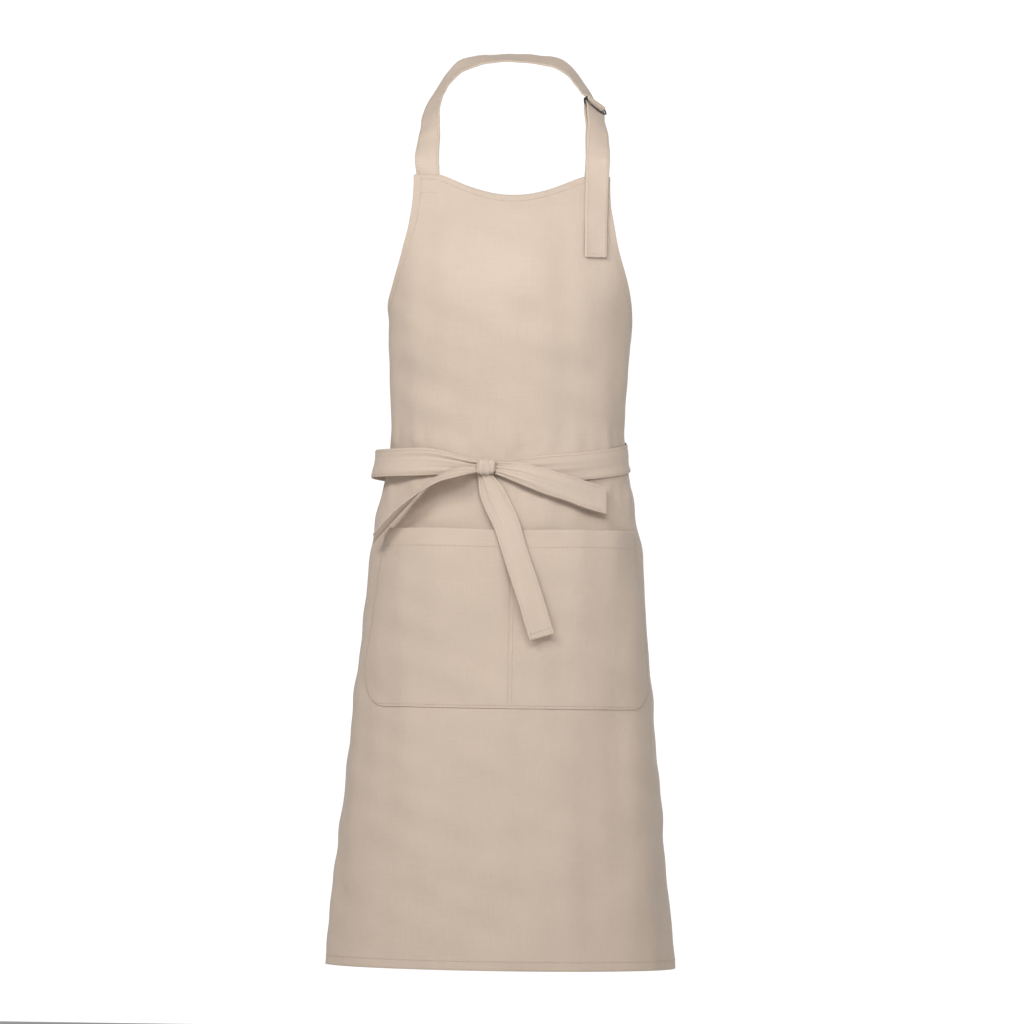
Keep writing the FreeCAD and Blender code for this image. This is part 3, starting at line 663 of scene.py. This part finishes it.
def pocket_lift(p, z):
    """Lift of the pocket's middle layer: sewn down at its edges and middle."""
    rise = np.clip((z - POCKET_FOOT) / POCKET_HEIGHT, 0.0, 1.0)
    across = np.sin(math.pi * np.minimum(np.abs(p), 1.0))
    bulge = POCKET_BULGE * across * np.sin(rise * math.pi / 2) ** 1.5
    return CLOTH * 1.55 + bulge


def pocket_creases(p, z):
    """Soft creases that fan out from the pocket's sewn corners."""
    rise = np.clip((z - POCKET_FOOT) / POCKET_HEIGHT, 0.0, 1.0)
    free = np.sin(math.pi * np.minimum(np.abs(p), 1.0)) * np.sin(math.pi * rise * 0.5)
    fan = np.sin(9.0 * np.abs(p) + 5.0 * rise + 1.0) + 0.7 * np.sin(17.0 * p - 6.0 * rise)
    return free * fan * 0.0005


def pocket_points(p, z, above):
    p, z = np.broadcast_arrays(np.asarray(p, float), np.asarray(z, float))
    s = POCKET_SHIFT + p * pocket_half(z)
    lift = pocket_lift(p, z) + pocket_creases(p, z) + above
    return lay(s, z, lift), s


def pocket_rises():
    """Heights that follow the lower corners' arcs, then the straight sides."""
    turn = POCKET_CORNER * (1 - np.cos(np.radians(np.linspace(0, 84, 22))))
    return np.concatenate([turn[:-1], np.linspace(turn[-1], POCKET_HEIGHT, 70)])


def pocket():
    p, z = np.meshgrid(np.linspace(-1, 1, 181), POCKET_FOOT + pocket_rises())
    points, s = pocket_points(p, z, 0.0)
    obj = sheet_mesh("pocket_cloth", points, LAYER, np.stack([s, z], -1))
    piece(obj, "pocket_cloth", "apron", ["pocket_panel"])
    drop, p = np.meshgrid(np.linspace(0, 1, 7), np.linspace(0.05, 0.95, 81), indexing="ij")
    z = POCKET_TOP - 0.0002 - POCKET_HEM * drop[::-1]
    turned = []
    for name, places in (("right", -p[:, ::-1]), ("left", p)):
        layer = sheet_mesh("pocket_fold_" + name, pocket_points(places, z, -0.00125)[0], LAYER)
        turned.append(piece(layer, "pocket_cloth", "apron", ["pocket_top_hem"]))
    turned + pocket_seams()


def pocket_row(p, z):
    p, z = np.broadcast_arrays(np.asarray(p, float), np.asarray(z, float))
    above = CLOTH * 0.45 + STITCH_RADIUS * 0.35
    points = pocket_points(p, z, above)[0]
    step = 0.004
    across = pocket_points(p + step, z, above)[0] - pocket_points(p - step, z, above)[0]
    upward = (pocket_points(p, np.minimum(z + 0.001, POCKET_TOP), above)[0]
              - pocket_points(p, z - 0.001, above)[0])
    return points, unit(np.cross(across, upward))


def pocket_seams():
    """The divider's two rows, the outline, and the turned top's row."""
    rise = np.linspace(POCKET_FOOT + 0.005, POCKET_TOP - 0.001, 120)
    width = pocket_half(rise)
    divider = [pocket_row(side * 0.0022 / width, rise) for side in (-1, 1)]
    inset = 0.003
    heights = np.minimum(POCKET_FOOT + pocket_rises() + inset, POCKET_TOP - 0.001)[1:]
    p = 1 - inset * 1.05 / pocket_half(heights)
    foot = np.linspace(-p[0], p[0], 160)[1:-1]
    line_p = np.concatenate([-p[::-1], foot, p])
    line_z = np.concatenate([heights[::-1], np.full(len(foot), heights[0]), heights])
    outline = [pocket_row(line_p, line_z)]
    level = POCKET_TOP - POCKET_HEM + 0.001
    top = [pocket_row(side * np.linspace(0.02, 0.98, 160), level) for side in (-1, 1)]
    seams = (("pocket_divider_seam", divider, "pocket_divider_stitches"),
             ("pocket_outline_seam", outline, "pocket_outline_stitches"),
             ("pocket_top_seam", top, "pocket_hem_stitches"))
    return [piece(stitch_rows(name, rows), "thread", "apron", [node])
            for name, rows, node in seams]


# ------------------------ bands

def band(name, pairs, thick, columns=13, pitch=0.0016, shape=None):
    """Woven band through rows of (first edge, second edge), six numbers a row.

    shape(t, w, length) lifts it along its own normal: t runs 0 to 1 along the band
    and w -1 to 1 across it."""
    path = curve_through(pairs, len(pairs) * 24)
    far = distances((path[:, :3] + path[:, 3:]) / 2)
    at = np.linspace(0, far[-1], max(int(far[-1] / pitch), 8))
    path = at_distances(path, far, at)
    w = np.linspace(-1, 1, columns)
    first, second = path[:, None, :3], path[:, None, 3:]
    grid = first + (second - first) * ((w + 1) / 2)[None, :, None]
    normals = -grid_normals(grid)
    t = at[:, None] / far[-1]
    height = np.zeros(grid.shape[:2])
    if shape is not None:
        height = height + shape(t, w[None, :], far[-1])
    grid = grid + normals * height[..., None]
    width = np.linalg.norm(path[:, 3:] - path[:, :3], axis=1)
    uvs = np.stack(np.broadcast_arrays(w * width[:, None] / 2, at[:, None]), -1)
    obj = sheet_mesh(name, grid, thick, uvs)
    return obj, grid, -grid_normals(grid), float(far[-1])


def edge_seams(name, grid, normals, thick, width, inset=0.0022):
    """Two rows of stitches just inside a band's edges."""
    columns = grid.shape[1]
    at = (np.array([inset, width - inset]) / width) * (columns - 1)
    rows = []
    for place in at:
        k = min(int(place), columns - 2)
        t = place - k
        line = grid[:, k] * (1 - t) + grid[:, k + 1] * t
        up = unit(normals[:, k] * (1 - t) + normals[:, k + 1] * t)
        rows.append((line + up * (thick / 2 + STITCH_RADIUS * 0.3), up))
    return stitch_rows(name, rows)


def soft_edges(t, w, length):
    """A pressed band's slight waviness."""
    return 0.00035 * np.sin(t * length / 0.011 + 2 * w) + 0.00025 * np.sin(t * length / 0.0043)


# ------------------------ neck strap

ROUTE = (
    ((0.0, 0.0, 3.3), (0.0, 0.95, 0.31)),
    ((30.0, 1.0, 1.0), (0.02, 0.94, 0.35)),
    ((56.0, -5.0, -8.0), (0.10, 0.88, 0.46)),
    ((73.0, -18.0, -24.0), (0.42, 0.86, -0.10)),
    ((82.0, -35.0, -40.0), (0.68, 0.55, -0.48)),
    ((84.0, -51.0, -58.0), (0.78, 0.32, -0.53)),
    ((83.0, -68.0, -82.0), (0.92, 0.10, -0.36)),
    ((83.0, -85.0, -108.0), (0.99, 0.0, -0.08)),
)
TWIST_PLACE = 3             # the left strap twists more here than the right one
TWIST_ACROSS = (0.15, 0.89, 0.42)


def seat_pair(side, z):
    s = side * (STRAP_SEAT + np.array([-1, 1]) * STRAP_WIDTH / 2)
    return (on_body(s, z) + body_normal(s, z) * CLOTH).reshape(6)


def strap_route(side):
    """Edges of the strap from the nape to behind the bib's corner."""
    mirror = np.array([side, 1.0, 1.0])
    pairs = []
    for index, (inner, across) in enumerate(ROUTE):
        if side < 0 and index == TWIST_PLACE:
            across = TWIST_ACROSS
        inner = np.array(inner) / 1000 * mirror
        across = unit(np.array(across) * mirror)
        pairs.append(np.concatenate([inner, inner + across * STRAP_WIDTH]))
    for drop in (0.0, STRAP_UNDERLAP / 2, STRAP_UNDERLAP):
        pairs.append(seat_pair(side, BIB_TOP - drop))
    return np.array(pairs)


RIGHT = strap_route(1)
FINE = curve_through(RIGHT, 2 * len(RIGHT) - 1)
BAR_PLACE, LOOP_PLACE, FREE_PLACE = 8, 7, 13
STRAP_STOP = (0.0026, 0.0011)   # the neck strap's end, above and before the bars
BOW_REACH = 0.022           # the strap runs straight this far below the bars
TURN_DROP = 0.008           # and turns over the ring's bow this far below them
BAR_RADIUS = 0.0013
WRAP_RADIUS = BAR_RADIUS + 0.0008
BAR_PITCH = 0.0023


class Buckle:
    """Axes at the rings' flat bars."""

    inner, outer = FINE[BAR_PLACE, :3], FINE[BAR_PLACE, 3:]
    below = FINE[BAR_PLACE + 2]
    across = unit((outer - inner) + (below[3:] - below[:3]))
    centre = (inner + outer) / 2
    out = unit(np.cross(across, centre - (below[:3] + below[3:]) / 2))
    up = np.cross(out, across)

    @classmethod
    def pair(cls, up, out, half=STRAP_WIDTH / 2):
        middle = cls.centre + cls.up * up + cls.out * out
        return np.concatenate([middle - cls.across * half, middle + cls.across * half])


def moved(pairs, offset):
    """A route moved along its own normal."""
    pairs = np.asarray(pairs, float)
    along = -np.gradient(pairs[:, :3] + pairs[:, 3:], axis=0)
    normal = unit(np.cross(pairs[:, 3:] - pairs[:, :3], along))
    return pairs + np.concatenate([normal, normal], 1) * offset


def over_bow(turn):
    """Place of the strap on its turn over the ring, from its back to its front."""
    return Buckle.pair(-TURN_DROP + STRAP_MIDDLE * math.sin(turn),
                       -STRAP_MIDDLE * math.cos(turn))


def straps():
    left = strap_route(-1)[::-1]
    right = FINE[1:LOOP_PLACE + 1]
    fine_left = curve_through(left, 2 * len(left) - 1)
    route = moved(np.concatenate([fine_left, right]), -STRAP_MIDDLE)
    route = np.concatenate([route, [Buckle.pair(*STRAP_STOP)]])
    obj, grid, normals, length = band("neck_strap_cloth", route, STRAP, shape=soft_edges)
    piece(obj, "strap_cloth", "apron", ["neck_strap"])
    seams = edge_seams("neck_strap_seams", grid, normals, STRAP, STRAP_WIDTH)
    piece(seams, "thread", "apron")

    reach = np.linspace(-BOW_REACH, -TURN_DROP, 7)
    pairs = list(moved(FINE[FREE_PLACE - 2:], -STRAP_MIDDLE)[::-1])
    pairs += [Buckle.pair(up, -STRAP_MIDDLE) for up in reach]
    pairs += [over_bow(turn) for turn in np.radians(np.linspace(15, 90, 6))]
    obj, grid, normals, length = band("strap_riser_cloth", densely(pairs), STRAP)
    piece(obj, "strap_cloth", "apron", ["adjusting_strap"])

    pairs = [over_bow(turn) for turn in np.radians(np.linspace(90, 165, 6))]
    pairs += [Buckle.pair(up, STRAP_MIDDLE) for up in reach[::-1]]
    pairs += list(moved(FINE[FREE_PLACE - 2:FREE_PLACE + 3], STRAP_MIDDLE))
    heights = np.linspace(BIB_TOP, BIB_TOP - TAIL_DROP, 8)[1:]
    hanging = np.array([seat_pair(1, z) for z in heights])
    pairs += list(moved(hanging, STRAP_MIDDLE))
    obj, grid, normals, length = band("strap_tail_cloth", densely(pairs), STRAP,
                                      shape=tail_shape)
    bend = (TAIL_HINGE + np.array([0, 0, 0.003]), TAIL_HINGE - np.array([0, 0.008, 0.022]))
    piece(obj, "strap_cloth", "tail", ["strap_tail"], bend)
    seams = edge_seams("strap_tail_seams", grid, normals, STRAP, STRAP_WIDTH)
    piece(seams, "thread", "tail", bend=bend)
    end_row = across_row(grid, normals, -3, STRAP)
    seams = stitch_rows("strap_tail_end_seam", [end_row])
    piece(seams, "thread", "tail", ["tail_end_stitches"], bend)

    for name, side in (("left", 1), ("right", -1)):
        rows = []
        for drop in (0.005, 0.020):
            half = STRAP_WIDTH / 2 - 0.0015
            s = side * (STRAP_SEAT + np.linspace(-half, half, 20))
            z = np.full(20, BIB_TOP - drop)
            rows.append(body_row(np.stack([s, z], 1), THREAD_LIFT))
        piece(stitch_rows("strap_base_seam_" + name, rows), "thread", "apron",
              ["strap_stitches_" + name])


def densely(pairs, pitch=0.0012):
    """Even steps along a route whose places are unevenly spaced."""
    pairs = np.asarray(pairs, float)
    far = distances((pairs[:, :3] + pairs[:, 3:]) / 2)
    rows = at_distances(pairs, far, np.linspace(0, far[-1], int(far[-1] / pitch)))
    kernel = np.array([1, 4, 6, 4, 1]) / 16
    for _ in range(3):
        padded = np.concatenate([2 * rows[:1] - rows[2:0:-1], rows,
                                 2 * rows[-1:] - rows[-2:-4:-1]])
        rows = np.stack([np.convolve(padded[:, k], kernel, "valid") for k in range(6)], 1)
    return rows[::2]


def tail_shape(t, w, length):
    """The loose end curls a little and stands off the bib at its tip."""
    curl = 0.0011 * eased((t - 0.62) / 0.38) * (1 + 0.6 * w ** 2)
    return curl + 0.5 * soft_edges(t, w, length)


def across_row(grid, normals, row, thick):
    """A seam across a band, two stitches in from its edges."""
    line, up = grid[row, 1:-1], normals[row, 1:-1]
    dense = curve_through(np.concatenate([line, up], 1), 40)
    up = unit(dense[:, 3:])
    return dense[:, :3] + up * (thick / 2 + STITCH_RADIUS * 0.3), up


def ring_wrap():
    """Folded end of the neck strap, closed round both flat bars."""
    half = STRAP_WIDTH / 2 - 0.0005
    loop = []
    for turn in np.radians(np.linspace(0, 360, 49)[:-1]):
        shift = BAR_PITCH if math.cos(turn) > 0 else 0.0
        loop.append(Buckle.pair(WRAP_RADIUS * math.sin(turn),
                                shift + WRAP_RADIUS * math.cos(turn), half))
    loop = np.array(loop)
    w = np.linspace(0, 1, 13)[None, :, None]
    grid = loop[:, None, :3] * (1 - w) + loop[:, None, 3:] * w
    obj = sheet_mesh("ring_loop_cloth", grid, 0.0013, closed=True)
    piece(obj, "strap_cloth", "apron", ["ring_loop"])


# ------------------------ waist ties

TIE_ROOT = 0.026            # the ties start this far inside the panel's side edges
TIE_GATHER = 0.075          # and narrow over this length, next to the knot


def girth_half(z):
    half, front, back = body(np.array([z]))
    half, depth = float(half[0]), float((back - front)[0]) / 2
    h = ((half - depth) / (half + depth)) ** 2
    return math.pi * (half + depth) * (1 + 3 * h / (10 + math.sqrt(4 - 3 * h))) / 2


def tie_uvs(w, far):
    return np.stack(np.broadcast_arrays(w * TIE_WIDTH / 2, far[:, None]), -1)


def tie_band(name, side, back_z, front_z, front_end, slack, node, seed):
    """Tie from one side edge, round the back and on to the knot, gathered there."""
    back = girth_half(WAIST)
    start, end = SKIRT_HALF - TIE_ROOT, 2 * back - front_end
    s = np.linspace(start, end, 260)
    root_z = WAIST - 0.015
    z = np.where(s < back,
                 root_z + (back_z - root_z) * eased((s - start) / (back - start)),
                 back_z + (front_z - back_z) * eased((s - back) / (end - back)))
    far_edge = 2 * back - SKIRT_HALF
    climb = eased((s - SKIRT_HALF - 0.002) / (far_edge - SKIRT_HALF - 0.006))
    lift = -0.0016 + 0.0043 * climb
    place = np.where(s < back, s, s - 2 * back)
    away = np.minimum(np.abs(place + back / 2) / 0.115, 1.0)
    lift = lift + slack * (0.5 + 0.5 * np.cos(math.pi * away))
    from_knot = end - s
    free = eased(from_knot / TIE_GATHER)
    height = TIE_WIDTH * (0.50 + 0.50 * free)
    z_end = np.where(from_knot < TIE_GATHER, KNOT_Z + (z - KNOT_Z) * free, z)
    w = np.linspace(-1, 1, 29)
    gather = np.exp(-from_knot / 0.045)[:, None]
    wave = np.random.default_rng(seed).uniform(0, 6, 3)
    drift = s[:, None] / 0.02
    pleats = (np.sin(w * 9 + wave[0] + 0.2 * drift) * 0.6
              + np.sin(w * 15 + wave[1] - 0.1 * drift) * 0.4)
    long_folds = np.sin(w * 4.2 + wave[2] + np.sin(s[:, None] / 0.05)) * 0.5
    bulge = pleats * gather * 0.0021 + long_folds * 0.0008 * climb[:, None]
    zs = z_end[:, None] + w * height[:, None] / 2
    ss = np.broadcast_to(side * place[:, None], zs.shape)
    grid = (on_body(ss, zs)
            + body_normal(ss, zs) * (lift[:, None] + bulge + 0.0004 * gather)[..., None])
    obj = sheet_mesh(name, grid, TIE, tie_uvs(w, s))
    piece(obj, "strap_cloth", "apron", [node])
    normals = grid_normals(grid)
    outward = np.sign((normals[100, 14] * body_normal(ss[100, 14], zs[100, 14])).sum())
    seams = edge_seams(name + "_seams", grid, normals * outward, TIE, TIE_WIDTH)
    piece(seams, "thread", "apron")


def ties():
    tie_band("waist_tie_cloth_left", -1, WAIST, WAIST - 0.030, KNOT_S + 0.002, 0.0,
             "waist_tie_left", 1)
    tie_band("waist_tie_cloth_right", 1, WAIST - 0.036, WAIST - 0.019, 0.002 - KNOT_S,
             0.013, "waist_tie_right", 2)


# ------------------------ knot and bow

KNOT_LOW, KNOT_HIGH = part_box("bow_knot")
KNOT_CENTRE = (np.array(KNOT_LOW) + np.array(KNOT_HIGH)) / 2


def knot():
    """Core of gathered cloth with a pleated band wrapped over it."""
    around = np.linspace(0, 2 * math.pi, 97)[:-1]
    x = np.linspace(-1, 1, 41)
    a, x = np.meshgrid(around, x, indexing="ij")
    pleat = (np.sin(x * 8.5 + 1.3 * np.sin(a) + 0.6) * 0.55
             + np.sin(x * 15 + 2.2 * np.cos(a + 0.4)) * 0.3)
    barrel = (1 - 0.42 * np.abs(x) ** 3.2)
    power = 0.72
    cy = np.sign(np.cos(a)) * np.abs(np.cos(a)) ** power
    cz = np.sign(np.sin(a)) * np.abs(np.sin(a)) ** power
    deep = (KNOT_DEPTH / 2 + 0.0004) * barrel + pleat * 0.0010
    tall = (KNOT_HEIGHT / 2 - 0.0003) * (1 - 0.26 * np.abs(x) ** 2.5) + pleat * 0.0008
    lean = 0.0012 * np.sin(a)
    grid = np.stack([x * (KNOT_WIDTH / 2 - 0.0004) + lean, -cy * deep, cz * tall], -1)
    grid = grid + KNOT_CENTRE
    obj = sheet_mesh("knot_wrap", grid, 0.0012, closed=True)
    piece(obj, "strap_cloth", "apron", ["bow_knot"])
    a, x = np.meshgrid(np.linspace(0, 2 * math.pi, 49)[:-1], np.linspace(-1, 1, 25),
                       indexing="ij")
    radius = np.sqrt(np.maximum(1 - x ** 2, 0.0)) ** 0.6
    ridges = 1 + 0.07 * np.sin(5 * a + 2 * x)
    grid = np.stack([x * (KNOT_WIDTH / 2 + 0.0012),
                     np.cos(a) * radius * ridges * KNOT_DEPTH * 0.40,
                     np.sin(a) * radius * ridges * KNOT_HEIGHT * 0.41], -1) + KNOT_CENTRE
    obj = sheet_mesh("knot_core", grid, 0.0006, closed=True)
    piece(obj, "strap_cloth", "apron")


LOOP_PLACES = np.array([
    # round the body, drop of the middle, height of the band, share of the gape
    (0.7, 1.0, 13.0, 0.5), (14.0, 4.0, 18.0, 0.7), (27.0, 7.0, 23.0, 0.9),
    (41.0, 11.5, 26.0, 1.0), (55.0, 16.0, 28.0, 1.0), (78.0, 23.0, 29.0, 1.0),
    (98.0, 30.0, 30.0, 1.0), (124.0, 37.0, 30.0, 1.0),
])
LOOP_BACK = CLOTH + 0.0012 + 0.0024 + 0.001
LOOP_GAPE = 0.005
LOOP_ROWS = 90              # on each side of the loop
LOOP_TURN_ROWS = 15


def gathers(t, w, seed, near=0.32, strength=0.0017):
    """Pleats that fan out from the knot and fade along a band."""
    wave = np.random.default_rng(seed).uniform(0, 6, 3)
    fade = np.exp(-t / near)
    fan = w * (9 - 4 * t)
    return fade * strength * (np.sin(fan + wave[0]) * 0.6 + np.sin(fan * 1.9 + wave[1]) * 0.4)


def loop_band():
    """Loop of the bow: a band out to the wearer's left and back again."""
    rows = curve_through(LOOP_PLACES, LOOP_ROWS)
    place, drop, height, share = (rows / np.array([1000, 1000, 1000, 1])).T
    s = KNOT_S + KNOT_WIDTH / 2 + place
    radius = LOOP_GAPE / 2
    turn = np.radians(np.linspace(12, 168, LOOP_TURN_ROWS))
    full = np.concatenate([s, s[-1] + radius * np.sin(turn), s[::-1]])
    drops = np.concatenate([drop, np.full(LOOP_TURN_ROWS, drop[-1]), drop[::-1]])
    tall = np.concatenate([height, np.full(LOOP_TURN_ROWS, height[-1]), height[::-1]])
    lifts = np.concatenate([np.full(LOOP_ROWS, LOOP_BACK),
                            LOOP_BACK + radius - radius * np.cos(turn),
                            LOOP_BACK + LOOP_GAPE * share[::-1]])
    rows = np.stack([full, KNOT_Z - drops, tall, lifts], 1)
    step = np.hypot(np.diff(full), np.diff(lifts))
    far = np.concatenate([[0], np.cumsum(np.hypot(step, np.diff(drops)))])
    at = np.linspace(0, far[-1], 230)
    rows = at_distances(rows, far, at)
    t = np.minimum(at, far[-1] - at)[:, None] / far[-1] * 2
    w = np.linspace(-1, 1, 27)[None, :]
    zs = rows[:, 1:2] + w * rows[:, 2:3] / 2
    ss = np.broadcast_to(rows[:, :1], zs.shape)
    front = (at > far[-1] / 2)[:, None]
    ease = eased(np.abs(at[:, None] - far[-1] / 2) / 0.02)
    puff = 0.0030 * np.sin(math.pi * np.clip(t * 1.15, 0, 1)) * (1 - 0.55 * w ** 2)
    bulge = np.where(front, gathers(t, w, 4) + puff, -0.5 * gathers(t, w, 5)) * ease
    bulge = bulge + 0.0004 * np.sin(w * 3 + at[:, None] / 0.03) * ease * front
    grid = on_body(ss, zs) + body_normal(ss, zs) * (rows[:, 3:4] + bulge)[..., None]
    obj = sheet_mesh("bow_loop_cloth", grid, TIE, tie_uvs(w, at))
    bend = (LOOP_HINGE + np.array([0.001, 0, 0]), LOOP_HINGE + np.array([0.022, 0, 0]))
    piece(obj, "strap_cloth", "loop", ["bow_loop"], bend)
    normals = grid_normals(grid)
    middle = len(grid) * 3 // 4
    outward = np.sign((normals[middle, 13] * np.array([0.2, -1, 0])).sum())
    start = len(grid) // 2 + 8
    seams = edge_seams("bow_loop_seams", grid[start:-6], normals[start:-6] * outward, TIE,
                       0.028)
    piece(seams, "thread", "loop", bend=bend)


LONG_PLACES = np.array([
    # round the body, drop below the knot, width, lift
    (-2.0, 4.0, 12.0, 6.5), (0.0, 11.9, 15.0, 7.0), (6.0, 26.0, 24.0, 7.5),
    (14.0, 44.0, 27.0, 8.5), (24.0, 66.0, 26.0, 9.5), (32.0, 92.0, 25.0, 12.0),
    (41.0, 120.0, 25.0, 14.5), (50.0, 148.0, 25.0, 16.0), (57.0, 172.0, 25.0, 16.5),
    (62.5, 190.0, 25.0, 16.5),
])


def long_band():
    rows = curve_through(LONG_PLACES, 90) / 1000
    w = np.array([-1.0, 1.0])
    s = KNOT_S + rows[:, :1] + w * rows[:, 2:3] / 2
    z = KNOT_Z - rows[:, 1:2] + w * rows[:, 2:3] * 0.16
    lift = rows[:, 3:4] + np.zeros_like(s)
    points = on_body(s, z) + body_normal(s, z) * lift[..., None]
    pairs = points.reshape(len(points), 6)

    def shape(t, w, length):
        fold = 0.0016 * np.sin(w * 2.6 + 1.1 + 1.8 * t) * (0.35 + 0.65 * (1 - t))
        roll = 0.0014 * w ** 2 * eased((t - 0.55) / 0.45)
        return gathers(t, w, 7, near=0.20, strength=0.0018) + fold + roll

    obj, grid, normals, length = band("bow_tail_cloth_long", pairs, TIE, columns=25,
                                      shape=shape)
    bend = (LONG_HINGE + np.array([0, 0, 0.001]), LONG_HINGE + np.array([0, 0, -0.022]))
    piece(obj, "strap_cloth", "long_end", ["bow_tail_long"], bend)
    sign = outward_sign(normals, len(grid) // 2)
    seams = edge_seams("bow_tail_seams_long", grid[6:], normals[6:] * sign, TIE, 0.026)
    piece(seams, "thread", "long_end", bend=bend)
    end_row = across_row(grid, normals * sign, -5, TIE)
    piece(stitch_rows("bow_tail_hem_long", [end_row]), "thread", "long_end", bend=bend)


def outward_sign(normals, row):
    """1 where a band's normals face the viewer, else -1."""
    return 1.0 if normals[row, normals.shape[1] // 2, 1] < 0 else -1.0


SHORT_PLACES = np.array([
    # round the body, drop of the inner edge, fall of the outer edge, its spread
    (-2.0, 1.0, 5.0, 0.0), (0.3, 0.0, 6.0, 0.0), (12.0, -1.0, 10.0, 0.0),
    (24.0, 0.0, 12.0, 1.0), (42.0, 9.0, 8.0, 2.0), (64.0, 28.0, 1.0, 3.0),
    (86.0, 51.0, -6.0, 4.0), (104.0, 70.0, -9.0, 3.0), (125.0, 89.0, -10.0, 0.0),
])


def short_band():
    pairs = []
    for place, drop, fall, reach in curve_through(SHORT_PLACES, 70):
        lift = (5.5 + max(place - 80, 0) * 0.12) / 1000
        s, z = KNOT_S - KNOT_WIDTH / 2 - place / 1000, KNOT_Z - drop / 1000
        inner = on_body(s, z) + body_normal(s, z) * lift
        forward = min(TIE_WIDTH * 970, 9.0 + place * 1.1)
        pairs.append(np.concatenate(
            [inner, inner + np.array([-reach, -forward, -fall]) / 1000]))

    def shape(t, w, length):
        fold = 0.0012 * np.sin(w * 2.4 + 4.5 * t) * eased(t / 0.2)
        return gathers(t, w, 9, near=0.22, strength=0.0014) + fold

    obj, grid, normals, length = band("bow_tail_cloth_short", np.array(pairs), TIE,
                                      columns=25, shape=shape)
    bend = (SHORT_HINGE + np.array([0.001, 0, 0]), SHORT_HINGE + np.array([-0.018, 0, 0]))
    piece(obj, "strap_cloth", "short_end", ["bow_tail_short"], bend)
    for name, sign in (("upper", 1.0), ("lower", -1.0)):
        seams = edge_seams("bow_tail_seams_short_" + name, grid[6:], normals[6:] * sign, TIE,
                           0.028)
        piece(seams, "thread", "short_end", bend=bend)


# ------------------------ rings

def rings():
    for node in ("back_d_ring", "front_d_ring"):
        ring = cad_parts[node]
        ring.data.materials.clear()
        ring.data.materials.append(MATERIALS["ring_steel"])
        for polygon in ring.data.polygons:
            polygon.use_smooth = True


# ------------------------ stage

FLOOR = -1.32
FLOOR_RADIUS = 12.0
SCREEN_RADIUS = 36.0
SCREEN_HEIGHTS = (-3.0, 2.0)
SCREEN_SIDES = 96
CAMERA_PLACE = (0.0056, -30.0, -0.506)
CAMERA_LENS = 937.0
CAMERA_ROLL = -0.0151       # the apron is seen leaning a little


def backdrop():
    """Pale round floor below the hem, and a low white screen far outside every camera."""
    turns = SCREEN_SIDES
    ring = [(math.cos(a), math.sin(a)) for a in np.linspace(0, 2 * math.pi, turns + 1)[:-1]]
    floor = [(FLOOR_RADIUS * x, FLOOR_RADIUS * y, FLOOR) for x, y in ring]
    screen = [(SCREEN_RADIUS * x, SCREEN_RADIUS * y, z) for z in SCREEN_HEIGHTS for x, y in ring]
    sides = [[i, (i + 1) % turns, turns + (i + 1) % turns, turns + i] for i in range(turns)]
    paper, tree, shader = new_material("paper")
    shader.inputs["Base Color"].default_value = (0.97, 0.97, 0.97, 1)
    shader.inputs["Roughness"].default_value = 0.9
    glow, tree, shader = new_material("screen_white")
    shader.inputs["Base Color"].default_value = (0, 0, 0, 1)
    shader.inputs["Emission Color"].default_value = (1, 1, 1, 1)
    shader.inputs["Emission Strength"].default_value = 1.05
    for name, points, faces, material in (("floor", floor, [list(range(turns))], paper),
                                          ("screen", screen, sides, glow)):
        obj = make_object(name, points, faces)
        obj.data.materials.append(material)


def lamp(name, place, target, size, power, colour=(1, 1, 1)):
    light = bpy.data.lights.new(name, "AREA")
    light.shape = "RECTANGLE"
    light.size, light.size_y = size
    light.energy = power
    light.color = colour
    obj = bpy.data.objects.new(name, light)
    obj.location = place
    way = Vector(target) - Vector(place)
    obj.rotation_euler = way.to_track_quat("-Z", "Y").to_euler()
    bpy.context.scene.collection.objects.link(obj)


def studio():
    camera = bpy.data.cameras.new("camera")
    camera.sensor_width = 36.0
    camera.lens = CAMERA_LENS
    camera.clip_end = 200.0
    obj = bpy.data.objects.new("camera", camera)
    obj.location = CAMERA_PLACE
    obj.rotation_euler = (math.pi / 2, CAMERA_ROLL, 0)
    bpy.context.scene.collection.objects.link(obj)
    bpy.context.scene.camera = obj
    world = bpy.data.worlds.new("studio")
    world.use_nodes = True
    world.node_tree.nodes["Background"].inputs[0].default_value = (1, 1, 1, 1)
    world.node_tree.nodes["Background"].inputs[1].default_value = 0.30
    bpy.context.scene.world = world
    bpy.context.scene.view_settings.view_transform = "Standard"
    lamp("key", (-1.3, -2.3, 1.4), (0, -0.1, -0.3), (1.1, 0.9), 42.5, (1.0, 0.985, 0.97))
    lamp("fill", (2.0, -2.4, 0.1), (0, -0.1, -0.5), (1.2, 1.6), 8)
    lamp("top", (0.1, -1.25, 0.15), (0, -0.1, -0.25), (0.7, 0.3), 7.5, (0.93, 0.97, 1.0))
    lamp("back", (0.9, 2.8, 0.4), (0, 0, -0.5), (1.2, 1.2), 26)


studio()
backdrop()
apron_cloth()
pocket()
straps()
ring_wrap()
rings()
ties()
knot()
loop_band()
long_band()
short_band()
